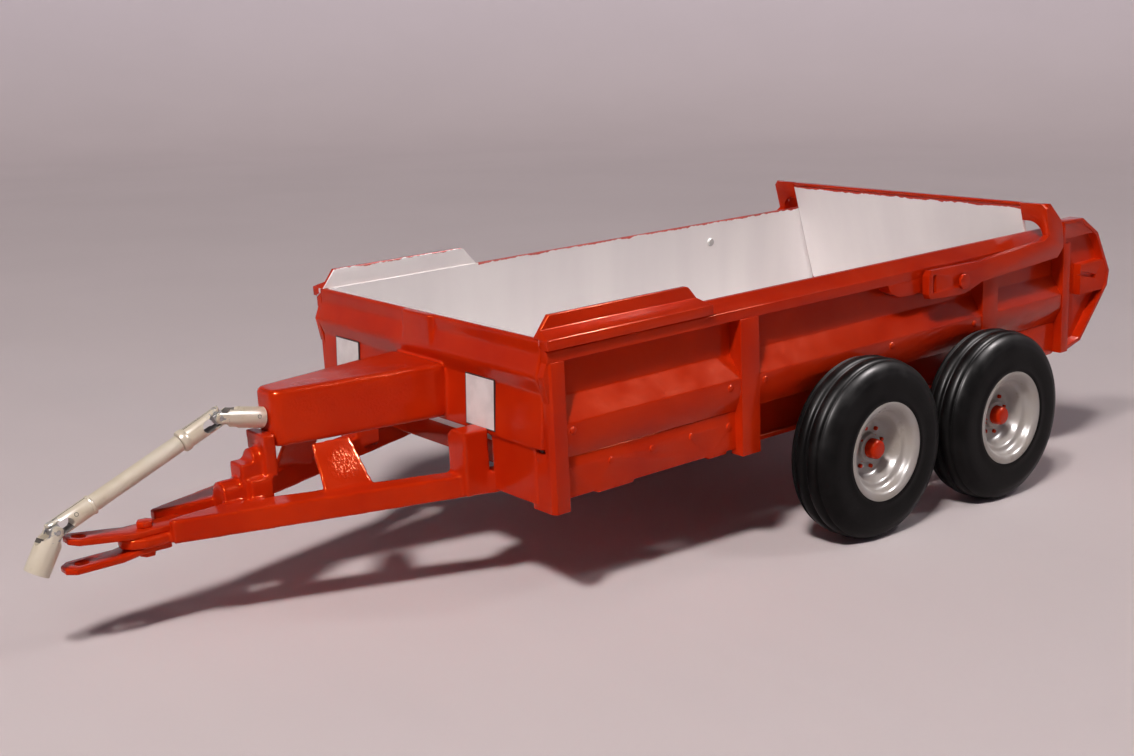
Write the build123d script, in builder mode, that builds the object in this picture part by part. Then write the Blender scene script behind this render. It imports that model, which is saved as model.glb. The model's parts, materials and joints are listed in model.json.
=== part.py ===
from build123d import *
import math
import os

# Toy box spreader on a tandem axle, 1:16, in millimetres.
# Ground is z = 0 and +X points to the hitch. The wheels stand level. Everything they carry leans
# nose-down by `rake`, so it is drawn in body coordinates: x forward from the front axle, y to the
# left and z up from the foot of the front wheel. The planes deck (x, y), flank (x, z) and front
# (y, z) turn those coordinates into real ones.

os.makedirs("parts", exist_ok=True)

# ---------------------------------------------------------------- stance
wheel_radius = 25.7
axle_spacing = 56.46
rake = 2.19
front_axle_x = -43.033
running_gap = 0.3

lean = Location((front_axle_x, 0, wheel_radius), (0, rake, 0)) * Location((0, 0, -wheel_radius))
deck = Plane(lean)
flank = Plane(origin=deck.origin, x_dir=deck.x_dir, z_dir=deck.y_dir * -1)
front = Plane(origin=deck.origin, x_dir=deck.y_dir, z_dir=deck.x_dir)

# ---------------------------------------------------------------- wheels
tyre_outer_y = 69.7
tyre_width = 14.8
tyre_inner_y = tyre_outer_y - tyre_width
tread_half = 3.6
shoulder_drop = 5.7
rim_radius = 14.0
bead_radius = 12.6
groove_depth = 0.9
groove_width = 1.0
groove_offsets = (-2.5, 0.0, 2.5)
disc_y = 61.0
disc_thickness = 1.3
hub_radius = 3.6
hub_cap_radius = 2.4
hub_cap_y = 65.9
axle_radius = 1.6
axle_clearance = 0.1

# ---------------------------------------------------------------- load box (body coordinates)
tub_inner_y = 48.6
tub_wall = 0.8
panel_inner_y = tub_inner_y + tub_wall
recess_y = panel_inner_y + 0.8
skirt_y = recess_y + 1.7
band_y = skirt_y + 2.4
post_y = band_y + 0.25
floor_z = 44.8
floor_under = 43.3
skirt_top = 42.5
skirt_bottom = 32.1
band_bottom = 47.6
band_top = 51.8
recess_bottom = 57.8
rail_bottom = 67.6
rim_z = 73.2
rail_drop = 2.9
rail_crease = rim_z - rail_drop
box_back = -102.9
box_front = 102.9
tub_back = -99.0
wall_half = 51.9
wall_bottom = 45.8
corner_x = 104.3

# outer side of the panel, bottom to top: y, z
side_profile = (
    (panel_inner_y, skirt_top),
    (skirt_y, skirt_top),
    (band_y, band_bottom),
    (band_y, band_top),
    (recess_y, recess_bottom),
    (recess_y, rail_bottom),
    (panel_inner_y, rail_bottom),
)

# front face of the front wall with its soft bulge, bottom to top: x, z
wall_face = (
    (105.4, wall_bottom),
    (104.3, 57.7),
    (106.0, 64.3),
    (104.3, 69.4),
    (104.6, rim_z),
)
wall_bend_radius = 3.0

# ---------------------------------------------------------------- wheels: four of each
# name, x of the axle, side
wheel_table = (
    ("front_left", front_axle_x, 1),
    ("front_right", front_axle_x, -1),
    ("rear_left", front_axle_x - axle_spacing, 1),
    ("rear_right", front_axle_x - axle_spacing, -1),
)
tyre_middle_y = (tyre_outer_y + tyre_inner_y) / 2
shoulder_radius = wheel_radius - shoulder_drop

for name, axle_x, side in wheel_table:
    axle = Plane(origin=(axle_x, 0, wheel_radius), x_dir=(0, side, 0), z_dir=(side, 0, 0))
    with BuildPart() as tyre:
        with BuildSketch(axle):
            with BuildLine():
                inner_wall = Line((tyre_inner_y + 0.4, bead_radius), (tyre_inner_y, shoulder_radius))
                Line(inner_wall @ 0, (tyre_outer_y - 0.4, bead_radius))
                outer_wall = Line((tyre_outer_y - 0.4, bead_radius), (tyre_outer_y, shoulder_radius))
                TangentArc(outer_wall @ 1, (tyre_middle_y + tread_half, wheel_radius),
                           tangent=outer_wall % 1)
                TangentArc(inner_wall @ 1, (tyre_middle_y - tread_half, wheel_radius),
                           tangent=inner_wall % 1)
                Line((tyre_middle_y - tread_half, wheel_radius),
                     (tyre_middle_y + tread_half, wheel_radius))
            make_face()
            for shift in groove_offsets:
                with Locations((tyre_middle_y + shift, wheel_radius)):
                    Rectangle(groove_width, 2 * groove_depth, mode=Mode.SUBTRACT)
        revolve(axis=Axis((axle_x, 0, wheel_radius), (0, 1, 0)))
    tyre.part.label = f"tyre_{name}"
    export_step(tyre.part, f"parts/tyre_{name}.step")

    with BuildPart() as rim:
        with BuildSketch(axle):
            with BuildLine():
                Polyline(
                    (tyre_inner_y + 1.5, axle_radius + axle_clearance),
                    (tyre_inner_y + 1.5, hub_radius),
                    (disc_y, hub_radius),
                    (disc_y, bead_radius - 1.2),
                    (tyre_inner_y + 0.6, bead_radius - 1.2),
                    (tyre_inner_y + 0.6, bead_radius),
                    (tyre_outer_y - 0.4, bead_radius),
                    (tyre_outer_y - 0.2, rim_radius),
                    (tyre_outer_y + 0.1, rim_radius),
                    (tyre_outer_y + 0.1, bead_radius - 0.2),
                    (tyre_outer_y - 2.2, bead_radius - 1.2),
                    (tyre_outer_y - 2.6, bead_radius - 2.2),
                    (disc_y + disc_thickness + 0.6, bead_radius - 2.6),
                    (disc_y + disc_thickness, bead_radius - 3.4),
                    (disc_y + disc_thickness, hub_radius),
                    (disc_y + disc_thickness + 1.8, hub_radius - 0.5),
                    (disc_y + disc_thickness + 1.8, hub_cap_radius),
                    (hub_cap_y - 0.4, hub_cap_radius),
                    (hub_cap_y, hub_cap_radius - 0.4),
                    (hub_cap_y, 0),
                    (disc_y + disc_thickness + 0.8, 0),
                    (disc_y + disc_thickness + 0.8, axle_radius + axle_clearance),
                    close=True,
                )
            make_face()
        revolve(axis=Axis((axle_x, 0, wheel_radius), (0, 1, 0)))
    rim.part.label = f"rim_{name}"
    export_step(rim.part, f"parts/rim_{name}.step")

# ---------------------------------------------------------------- sides of the box
skirt_inner_y = 50.3
skirt_front = 103.4
skirt_back = 34.0
extension_back_foot = 51.0
extension_back_top = 55.6
extension_front_top = 100.5
extension_front_foot = 104.7
extension_rise = 5.2
extension_corner = 2.0
extension_top = rim_z + extension_rise
cap_y = 55.4
cap_bottom = rail_crease + 0.5

# rail over the panel: y, z
rail_profile = (
    (panel_inner_y, rail_bottom),
    (band_y, rail_bottom),
    (band_y, rail_crease),
    (tub_inner_y + 1.0, rim_z),
    (panel_inner_y, rim_z),
)

# extension board that hooks over the rail: y, z
roof_drop = (rim_z - rail_crease) / (band_y - tub_inner_y - 1.0)
extension_profile = (
    (tub_inner_y + 1.0, rim_z),
    (tub_inner_y + 1.0, extension_top),
    (tub_inner_y + 2.4, extension_top),
    (tub_inner_y + 2.3, rim_z + 1.8),
    (cap_y, rim_z + 0.2),
    (cap_y, cap_bottom),
    (band_y - 0.7, rail_crease + 0.7 * roof_drop),
)

# upright channels on the outside: name, back, front, bottom, top
post_table = (
    ("front", 99.4, box_front, 29.8, rail_bottom),
    ("middle", 33.9, 40.6, 30.4, rail_bottom),
    ("third", -69.1, -61.7, 43.3, rail_bottom),
)
post_wall = 1.2

# rivet heads along the side: x, z, height they stand on
rivet_table = (
    (97.4, 38.9, skirt_y),
    (84.0, 38.9, skirt_y),
    (70.3, 38.9, skirt_y),
    (56.7, 38.9, skirt_y),
    (43.2, 38.9, skirt_y),
    (97.4, 49.9, band_y),
    (44.5, 49.9, band_y),
    (31.6, 49.9, band_y),
)

# plate at the back of each side: x, z
rear_plate_profile = (
    (box_back, 33.0),
    (-106.4, 33.0),
    (-114.0, 34.9),
    (-128.3, 51.0),
    (-129.2, 55.9),
    (-121.9, 69.4),
    (-113.2, 75.1),
    (box_back, 75.1),
)
rear_plate_inner_y = 49.6
rear_plate_outer_y = 51.4
rear_rim_wall = 1.2
rear_post = (-106.5, box_back, 32.6, 68.0)
beater_x = -117.2
beater_z = 56.0
beater_shaft_radius = 1.6
bearing_fit = 0.1
bearing_block = (-113.2, 50.0, 60.0)
bearing_cover = 0.9
bearing_slot = (8.6, 1.4, 1.1)
bearing_slot_tilt = 14.0
rear_top_band = 5.6

for name, side in (("left", 1), ("right", -1)):
    with BuildPart() as panel:
        with BuildSketch(front.offset(box_back)):
            with BuildLine():
                Polyline([(side * y, z) for y, z in side_profile], close=True)
            make_face()
        extrude(amount=box_front - box_back)
    panel.part.label = f"side_panel_{name}"
    export_step(panel.part, f"parts/side_panel_{name}.step")

    with BuildPart() as skirt:
        with BuildSketch(flank.offset(-side * skirt_inner_y)):
            with BuildLine():
                Polyline(
                    (skirt_back, skirt_top),
                    (skirt_back, skirt_bottom),
                    (44.0, skirt_bottom),
                    (44.4, skirt_bottom - 0.7),
                    (50.8, skirt_bottom - 0.7),
                    (51.2, skirt_bottom),
                    (76.6, skirt_bottom),
                    (77.0, skirt_bottom - 0.7),
                    (88.6, skirt_bottom - 0.7),
                    (89.0, skirt_bottom),
                    (skirt_front, skirt_bottom),
                    (skirt_front, skirt_top),
                    close=True,
                )
            make_face()
        extrude(amount=-side * (skirt_y - skirt_inner_y))
        for x, z, y in rivet_table[:5]:
            with BuildSketch(flank.offset(-side * y)):
                with Locations((x, z)):
                    Circle(0.85)
            extrude(amount=-side * 0.45)
    skirt.part.label = f"skirt_{name}"
    export_step(skirt.part, f"parts/skirt_{name}.step")

    with BuildPart() as rail:
        with BuildSketch(front.offset(box_back)):
            with BuildLine():
                Polyline([(side * y, z) for y, z in rail_profile], close=True)
            make_face()
        extrude(amount=corner_x - box_back)
        with BuildSketch(front.offset(box_front)):
            with Locations((0, (wall_bottom + rim_z) / 2)):
                Rectangle(2 * wall_half, rim_z - wall_bottom + 2)
        extrude(amount=6, mode=Mode.SUBTRACT)
    rail.part.label = f"rail_{name}"
    export_step(rail.part, f"parts/rail_{name}.step")

    with BuildPart() as extension:
        with BuildSketch(front.offset(extension_back_foot)):
            with BuildLine():
                Polyline([(side * y, z) for y, z in extension_profile], close=True)
            make_face()
        extrude(amount=extension_front_foot - extension_back_foot)
        with BuildSketch(flank.offset(-side * tub_inner_y)):
            with BuildLine():
                Polyline(
                    (extension_back_foot, cap_bottom - 2),
                    (extension_back_foot, rim_z),
                    (extension_back_top, extension_top),
                    (extension_front_top, extension_top),
                    (extension_front_foot, rim_z),
                    (extension_front_foot, cap_bottom - 2),
                    close=True,
                )
            make_face()
            fillet(vertices().sort_by(Axis.Y)[-2:].sort_by(Axis.X)[0], radius=extension_corner)
        extrude(amount=-side * 8, mode=Mode.INTERSECT)
        with BuildSketch(front.offset(box_front)):
            with Locations((0, rim_z - 5)):
                Rectangle(2 * wall_half, 10.0)
        extrude(amount=4, mode=Mode.SUBTRACT)
    extension.part.label = f"extension_board_{name}"
    export_step(extension.part, f"parts/extension_board_{name}.step")

    with BuildPart() as posts:
        for _, back, ahead, bottom, top in post_table:
            with BuildSketch(deck.offset(bottom)):
                with Locations(((back + ahead) / 2, side * (recess_y + post_y) / 2)):
                    Rectangle(ahead - back, post_y - recess_y)
                with Locations(((back + ahead) / 2, side * (recess_y + post_y - 2 * post_wall) / 2)):
                    Rectangle(ahead - back - 2 * post_wall, post_y - recess_y, mode=Mode.SUBTRACT)
            extrude(amount=top - bottom)
        with BuildSketch(deck.offset(29.8)):
            with BuildLine():
                Polyline(
                    (box_front, side * recess_y),
                    (box_front, side * post_y),
                    (corner_x - 0.9, side * post_y),
                    (corner_x, side * (post_y - 1.2)),
                    (corner_x, side * recess_y),
                    close=True,
                )
            make_face()
        extrude(amount=rail_bottom - 29.8)
        # the bulge of the front wall carries on round the corner
        with BuildSketch(flank.offset(-side * recess_y)):
            with BuildLine():
                Polyline(
                    (box_front, wall_face[1][1]),
                    (corner_x, wall_face[1][1]),
                    (corner_x + 1.3, wall_face[2][1]),
                    (corner_x, rail_bottom),
                    (box_front, rail_bottom),
                    close=True,
                )
            make_face()
        extrude(amount=-side * (post_y - 0.6 - recess_y))
        with BuildSketch(deck.offset(29.8)):
            with BuildLine():
                Polyline(
                    (box_front, side * 46.0),
                    (box_front, side * recess_y),
                    (corner_x, side * recess_y),
                    (corner_x, side * 46.0),
                    close=True,
                )
            make_face()
        extrude(amount=wall_bottom - 0.2 - 29.8)
        add(panel.part, mode=Mode.SUBTRACT)
        add(skirt.part, mode=Mode.SUBTRACT)
        with BuildSketch(front.offset(box_front)):
            with Locations((0, (wall_bottom + rim_z) / 2)):
                Rectangle(2 * wall_half, rim_z - wall_bottom + 2)
        extrude(amount=6, mode=Mode.SUBTRACT)
    posts.part.label = f"posts_{name}"
    export_step(posts.part, f"parts/posts_{name}.step")

    with BuildPart() as rear_plate:
        with BuildSketch(flank.offset(-side * rear_plate_inner_y)):
            with BuildLine():
                Polyline(*rear_plate_profile, close=True)
            make_face()
        extrude(amount=-side * (rear_plate_outer_y - rear_plate_inner_y))
        with BuildSketch(flank.offset(-side * rear_plate_outer_y)):
            with BuildLine():
                Polyline(*rear_plate_profile, close=True)
            make_face()
            offset(amount=-rear_rim_wall, mode=Mode.SUBTRACT)
        extrude(amount=-side * (band_y - rear_plate_outer_y))
        # deep band along the top, then the bearing block at the back: x and z of what they fill
        block_x, block_low, block_high = bearing_block
        for x, low, high, height in (
            (box_back, rear_plate_profile[-1][1] - rear_top_band, rear_plate_profile[-1][1], band_y - 0.3),
            (block_x, block_low, block_high, band_y - 0.2),
        ):
            with BuildSketch(flank.offset(-side * rear_plate_outer_y)):
                with BuildLine():
                    Polyline(*rear_plate_profile, close=True)
                make_face()
                with Locations((x - 20.0, (low + high) / 2)):
                    Rectangle(40.0, high - low, mode=Mode.INTERSECT)
            extrude(amount=-side * (height - rear_plate_outer_y))
        slot_long, slot_high, slot_deep = bearing_slot
        with BuildSketch(flank.offset(-side * (band_y - 0.2 - slot_deep))):
            with Locations(Location((block_x - slot_long / 2, beater_z), bearing_slot_tilt)):
                Rectangle(slot_long, slot_high)
        extrude(amount=-side * 4, mode=Mode.SUBTRACT)
        with BuildSketch(flank.offset(-side * (rear_plate_inner_y - 1))):
            with Locations((beater_x, beater_z)):
                Circle(beater_shaft_radius + bearing_fit)
        extrude(amount=-side * (rear_plate_outer_y + bearing_cover + 1 - rear_plate_inner_y),
                mode=Mode.SUBTRACT)
        with BuildSketch(deck.offset(rear_post[2])):
            with Locations(((rear_post[0] + rear_post[1]) / 2, side * (rear_plate_outer_y + post_y) / 2)):
                Rectangle(rear_post[1] - rear_post[0], post_y - rear_plate_outer_y)
        extrude(amount=rear_post[3] - rear_post[2])
    rear_plate.part.label = f"rear_plate_{name}"
    export_step(rear_plate.part, f"parts/rear_plate_{name}.step")

# ---------------------------------------------------------------- front wall, tub and floor
with BuildPart() as front_wall:
    with BuildSketch(flank.offset(-wall_half)):
        with BuildLine():
            FilletPolyline(*wall_face, radius=wall_bend_radius)
            Polyline(wall_face[-1], (box_front, rim_z), (box_front, wall_bottom), wall_face[0])
        make_face()
    extrude(amount=2 * wall_half)
    with BuildSketch(front.offset(104.2)):
        with Locations((0, (rim_z + 64.0) / 2)):
            Rectangle(13.0, rim_z - 64.0)
    extrude(amount=1.6)
front_wall.part.label = "front_wall"
export_step(front_wall.part, "parts/front_wall.step")

# the two pale plates on the front wall: middle in y, width
plate_table = (
    (26.7, 12.5),
    (-38.0, 12.5),
)
plate_bottom = 47.0
plate_top = 60.3
plate_rise = 0.3
with BuildPart() as name_plates:
    for middle, width in plate_table:
        with BuildSketch(flank.offset(-middle - width / 2)):
            with BuildLine():
                FilletPolyline([(x + plate_rise, z) for x, z in wall_face], radius=wall_bend_radius)
                Polyline((wall_face[-1][0] + plate_rise, rim_z), (box_front, rim_z),
                         (box_front, wall_bottom), (wall_face[0][0] + plate_rise, wall_bottom))
            make_face()
            with Locations((box_front, (plate_bottom + plate_top) / 2)):
                Rectangle(12.0, plate_top - plate_bottom, mode=Mode.INTERSECT)
        extrude(amount=width)
    add(front_wall.part, mode=Mode.SUBTRACT)
name_plates.part.label = "blank_plates"
export_step(name_plates.part, "parts/blank_plates.step")

with BuildPart() as tub:
    with BuildSketch(front.offset(tub_back)):
        with Locations((0, (floor_under + rim_z) / 2)):
            Rectangle(2 * panel_inner_y, rim_z - floor_under)
        with Locations((0, (floor_z + rim_z + 5) / 2)):
            Rectangle(2 * tub_inner_y, rim_z + 5 - floor_z, mode=Mode.SUBTRACT)
    extrude(amount=box_front - tub_back)
    with BuildSketch(front.offset(box_front - tub_wall)):
        with Locations((0, (floor_under + rim_z) / 2)):
            Rectangle(2 * panel_inner_y, rim_z - floor_under)
    extrude(amount=tub_wall)
tub.part.label = "tub"
export_step(tub.part, "parts/tub.step")

slat_count = 14
slat_pitch = (box_front - tub_back - 5.9) / slat_count
with BuildPart() as slats:
    for i in range(slat_count):
        with BuildSketch(deck.offset(floor_z)):
            with Locations((tub_back + 8 + i * slat_pitch, 0)):
                Rectangle(2.0, 94.0)
        extrude(amount=1.2)
    for side in (1, -1):
        with BuildSketch(deck.offset(floor_z)):
            with Locations(((tub_back + box_front) / 2, side * 36.0)):
                Rectangle(box_front - tub_back - 12, 2.4)
        extrude(amount=0.8)
slats.part.label = "floor_slats"
export_step(slats.part, "parts/floor_slats.step")

# ---------------------------------------------------------------- frame, drawbar and hitch
rail_outer_y = 46.4
rail_width = 3.2
rail_low = 30.0
frame_back = -103.0
frame_front = 102.0
beam_run = (180.6, 66.0)
beam_edge = (6.6, 43.2)
beam_low = 30.4
beam_high = 36.2
beam_inner_back = 39.7
beam_inner_front = 2.4
nose_end = 191.5
nose_half = 5.0
nose_high = 33.0
nose_back = 168.0
hitch_pin_x = 200.8
hitch_pin_radius = 1.6
strap_half = 3.6
strap_thickness = 1.5
upper_strap_tip = 204.0
upper_strap_rise = 2.2
lower_strap_tip = 205.3
lower_strap_low = beam_low - 2.2

with BuildPart() as frame_rails:
    for side in (1, -1):
        with BuildSketch(front.offset(frame_back)):
            with Locations((side * (rail_outer_y - rail_width / 2), (rail_low + floor_under) / 2)):
                Rectangle(rail_width, floor_under - rail_low)
            with Locations((side * rail_outer_y, (rail_low + floor_under) / 2)):
                Rectangle(2 * (rail_width - 1.2), floor_under - rail_low - 2.8, mode=Mode.SUBTRACT)
        extrude(amount=frame_front - frame_back)
frame_rails.part.label = "frame_rails"
export_step(frame_rails.part, "parts/frame_rails.step")

# across between the rails: x, bottom, top
member_table = (
    (-98.0, 33.0, 43.3),
    (-28.2, 33.0, 43.3),
    (33.0, 33.0, 43.3),
    (99.5, 36.2, 43.3),
)
with BuildPart() as cross_members:
    for x, low, high in member_table:
        with BuildSketch(deck.offset(low)):
            with Locations((x, 0)):
                Rectangle(3.0, 2 * (rail_outer_y - rail_width))
        extrude(amount=high - low)
cross_members.part.label = "cross_members"
export_step(cross_members.part, "parts/cross_members.step")

with BuildPart() as lower_front_panels:
    for side in (1, -1):
        with BuildSketch(front.offset(box_front)):
            with Locations((side * 39.6, (31.0 + wall_bottom) / 2)):
                Rectangle(12.4, wall_bottom - 31.0)
        extrude(amount=1.8)
lower_front_panels.part.label = "lower_front_panels"
export_step(lower_front_panels.part, "parts/lower_front_panels.step")

beam_front = 166.0
beam_slope = (beam_edge[1] - beam_edge[0]) / (beam_run[0] - beam_run[1])
beam_front_y = beam_edge[0] + (beam_run[0] - beam_front) * beam_slope
with BuildPart() as drawbar:
    for side in (1, -1):
        with BuildSketch(deck.offset(beam_low)):
            with BuildLine():
                Polyline(
                    (beam_front, side * beam_front_y),
                    (beam_run[1], side * beam_edge[1]),
                    (beam_run[1], side * beam_inner_back),
                    (beam_front, side * beam_inner_front),
                    close=True,
                )
            make_face()
        extrude(amount=beam_high - beam_low)
drawbar.part.label = "drawbar_beams"
export_step(drawbar.part, "parts/drawbar_beams.step")

with BuildPart() as nose:
    for side in (1, -1):
        with BuildSketch(deck.offset(beam_low)):
            with BuildLine():
                Polyline(
                    (beam_front, side * beam_front_y),
                    (beam_run[0], side * beam_edge[0]),
                    (beam_run[0], side * (beam_edge[0] - 2.6)),
                    (beam_front, side * beam_inner_front),
                    close=True,
                )
            make_face()
        extrude(amount=beam_high - beam_low)
    with BuildSketch(deck.offset(beam_low)):
        with BuildLine():
            Polyline(
                (nose_back, nose_half),
                (nose_end - 5.0, nose_half),
                (nose_end - 1.5, nose_half - 1.6),
                (nose_end, nose_half - 3.8),
                (nose_end, 3.8 - nose_half),
                (nose_end - 1.5, 1.6 - nose_half),
                (nose_end - 5.0, -nose_half),
                (nose_back, -nose_half),
                close=True,
            )
        make_face()
    extrude(amount=nose_high - beam_low)
nose.part.label = "drawbar_nose"
export_step(nose.part, "parts/drawbar_nose.step")

hitch_pin = Plane(origin=deck.from_local_coords((hitch_pin_x, 0, 0)), x_dir=deck.x_dir, z_dir=deck.z_dir)
# straps in side view, along their undersides: x, z
lower_strap_line = (
    (nose_end - 11.5, beam_low - strap_thickness),
    (nose_end - 4.0, beam_low - strap_thickness),
    (nose_end + 0.5, lower_strap_low),
    (lower_strap_tip, lower_strap_low),
)
upper_strap_line = (
    (nose_end - 16.5, nose_high),
    (nose_end - 2.5, nose_high),
    (upper_strap_tip, nose_high + upper_strap_rise),
)
for name, line, tip in (
    ("lower_strap", lower_strap_line, lower_strap_tip),
    ("upper_strap", upper_strap_line, upper_strap_tip),
):
    with BuildPart() as strap:
        with BuildSketch(flank.offset(-strap_half)):
            with BuildLine():
                Polyline(*line, *[(x, z + strap_thickness) for x, z in reversed(line)], close=True)
            make_face()
        extrude(amount=2 * strap_half)
        with BuildSketch(deck.offset(beam_low - 10)):
            with BuildLine():
                Polyline(
                    (nose_end - 21.5, strap_half),
                    (tip - 2.0, strap_half),
                    (tip, strap_half - 2.0),
                    (tip, -strap_half + 2.0),
                    (tip - 2.0, -strap_half),
                    (nose_end - 21.5, -strap_half),
                    close=True,
                )
            make_face()
        extrude(amount=24, mode=Mode.INTERSECT)
        with BuildSketch(hitch_pin):
            Circle(hitch_pin_radius)
        extrude(amount=60, mode=Mode.SUBTRACT)
        add(nose.part, mode=Mode.SUBTRACT)
    strap.part.label = name
    export_step(strap.part, f"parts/{name}.step")

bolt_x = nose_end - 6.7
with BuildPart() as hitch_bolt:
    head = Plane(origin=deck.from_local_coords((bolt_x, 0, nose_high + strap_thickness)),
                 x_dir=deck.x_dir, z_dir=deck.z_dir)
    with BuildSketch(head):
        RegularPolygon(2.1, 6)
    extrude(amount=1.5)
    nut = Plane(origin=deck.from_local_coords((bolt_x, 0, beam_low - strap_thickness)),
                x_dir=deck.x_dir, z_dir=deck.z_dir)
    with BuildSketch(nut):
        RegularPolygon(2.1, 6)
    extrude(amount=-1.6)
hitch_bolt.part.label = "hitch_bolt"
export_step(hitch_bolt.part, "parts/hitch_bolt.step")

# ---------------------------------------------------------------- driveline housing on the drawbar
housing_front = 151.2
housing_back = 108.2
housing_front_half = 5.0
housing_back_half = 11.7
housing_low = 47.0
housing_high = 61.4
with BuildPart() as housing:
    with BuildSketch(deck.offset(housing_low)):
        with BuildLine():
            Polyline(
                (housing_back - 4.2, housing_back_half),
                (housing_back, housing_back_half),
                (housing_front - 2.0, housing_front_half),
                (housing_front, housing_front_half - 1.2),
                (housing_front, -housing_front_half + 1.2),
                (housing_front - 2.0, -housing_front_half),
                (housing_back, -housing_back_half),
                (housing_back - 4.2, -housing_back_half),
                close=True,
            )
        make_face()
    extrude(amount=housing_high - housing_low)
    add(front_wall.part, mode=Mode.SUBTRACT)
    with BuildSketch(deck.offset(housing_low - 2)):
        with Locations((box_front - 10, 0)):
            Rectangle(20.2, 40)
    extrude(amount=30, mode=Mode.SUBTRACT)
housing.part.label = "driveline_housing"
export_step(housing.part, "parts/driveline_housing.step")

# one sloping plate a side, from the foot of the housing to the beam: x, y, z of its corners
strut_corners = (
    (142.6, 6.6, housing_low),
    (132.4, 8.0, housing_low),
    (131.2, 16.4, beam_high),
    (143.8, 13.9, beam_high),
)
strut_thickness = 1.2
with BuildPart() as struts:
    for side in (1, -1):
        corners = [Vector(x, side * y, z) for x, y, z in strut_corners]
        across = corners[1] - corners[0]
        slope = corners[3] - corners[0]
        normal = across.cross(slope).normalized()
        if normal.Z < 0:
            normal = normal * -1
        tilted = Plane(origin=deck.from_local_coords(corners[0]),
                       x_dir=deck.from_local_coords(across) - deck.origin,
                       z_dir=deck.from_local_coords(normal) - deck.origin)
        flat = [tilted.to_local_coords(deck.from_local_coords(corner)) for corner in corners]
        with BuildSketch(tilted):
            with BuildLine():
                Polyline([(point.X, point.Y) for point in flat], close=True)
            make_face()
        extrude(amount=-strut_thickness)
    add(drawbar.part, mode=Mode.SUBTRACT)
    add(housing.part, mode=Mode.SUBTRACT)
struts.part.label = "housing_struts"
export_step(struts.part, "parts/housing_struts.step")

# upright brackets that carry the beams on the front wall
bracket_back = 105.5
bracket_front = 113.0
bracket_inner_y = 22.6
bracket_outer_y = 30.2
bracket_high = 47.6
with BuildPart() as brackets:
    for side in (1, -1):
        with BuildSketch(front.offset(bracket_back)):
            with BuildLine():
                Polyline(
                    (side * bracket_inner_y, beam_high - 3.0),
                    (side * bracket_inner_y, bracket_high - 1.5),
                    (side * (bracket_inner_y + 1.5), bracket_high),
                    (side * bracket_outer_y, bracket_high),
                    (side * bracket_outer_y, beam_low + 0.4),
                    (side * (bracket_outer_y - 3.0), beam_low + 0.4),
                    close=True,
                )
            make_face()
        extrude(amount=bracket_front - bracket_back)
    add(drawbar.part, mode=Mode.SUBTRACT)
    add(name_plates.part, mode=Mode.SUBTRACT)
brackets.part.label = "beam_brackets"
export_step(brackets.part, "parts/beam_brackets.step")

# stepped stand under the front of the housing: back, front, half width, bottom, top
stand_table = (
    (151.2, 154.4, 5.0, 40.2, 50.9),
    (154.4, 160.4, 3.3, 38.0, 44.4),
    (153.0, 159.2, 5.4, 34.0, 40.6),
)
# round tops on it: back, front, radius, height of the middle
stand_round_table = (
    (154.4, 156.8, 3.3, 44.1),
    (154.4, 165.5, 3.6, 37.2),
)
with BuildPart() as stand:
    for back, ahead, half, low, high in stand_table:
        with BuildSketch(deck.offset(low)):
            with Locations(((back + ahead) / 2, 0)):
                Rectangle(ahead - back, 2 * half)
        extrude(amount=high - low)
    for back, ahead, radius, middle in stand_round_table:
        with BuildSketch(front.offset(back)):
            with Locations((0, middle)):
                Circle(radius)
            with Locations((0, middle - radius / 2)):
                Rectangle(2 * radius, radius)
        extrude(amount=ahead - back)
    # foot that reaches the beams on both sides
    with BuildSketch(deck.offset(nose_high)):
        with Locations((160.0, 0)):
            Rectangle(8.0, 20.0)
    extrude(amount=2.4)
    add(drawbar.part, mode=Mode.SUBTRACT)
    add(nose.part, mode=Mode.SUBTRACT)
    add(housing.part, mode=Mode.SUBTRACT)
stand.part.label = "housing_stand"
export_step(stand.part, "parts/housing_stand.step")

# ---------------------------------------------------------------- tandem beams and stub axles
rocker_inner_y = 47.2
rocker_outer_y = 51.6
rocker_half_height = 4.6
rocker_middle_x = front_axle_x - axle_spacing / 2
pivot_radius = 3.0
hub_gap = 0.4
axle_end_y = disc_y + disc_thickness + 0.6
with BuildPart() as rockers:
    for side in (1, -1):
        ground_flank = Plane(origin=(rocker_middle_x, side * rocker_inner_y, wheel_radius),
                             x_dir=(1, 0, 0), z_dir=(0, -1, 0))
        with BuildSketch(ground_flank):
            SlotCenterToCenter(axle_spacing, 2 * rocker_half_height)
            with Locations((0, 1.5)):
                Rectangle(14.0, 11.0)
        extrude(amount=-side * (rocker_outer_y - rocker_inner_y))
rockers.part.label = "tandem_beams"
export_step(rockers.part, "parts/tandem_beams.step")

with BuildPart() as stub_axles:
    for side in (1, -1):
        for shift in (-axle_spacing / 2, axle_spacing / 2):
            stub = Plane(origin=(rocker_middle_x + shift, side * rocker_outer_y, wheel_radius),
                         x_dir=(1, 0, 0), z_dir=(0, side, 0))
            with BuildSketch(stub):
                Circle(hub_radius)
            extrude(amount=tyre_inner_y + 1.5 - hub_gap - rocker_outer_y)
            with BuildSketch(stub):
                Circle(axle_radius)
            extrude(amount=axle_end_y - rocker_outer_y)
stub_axles.part.label = "stub_axles"
export_step(stub_axles.part, "parts/stub_axles.step")

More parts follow.
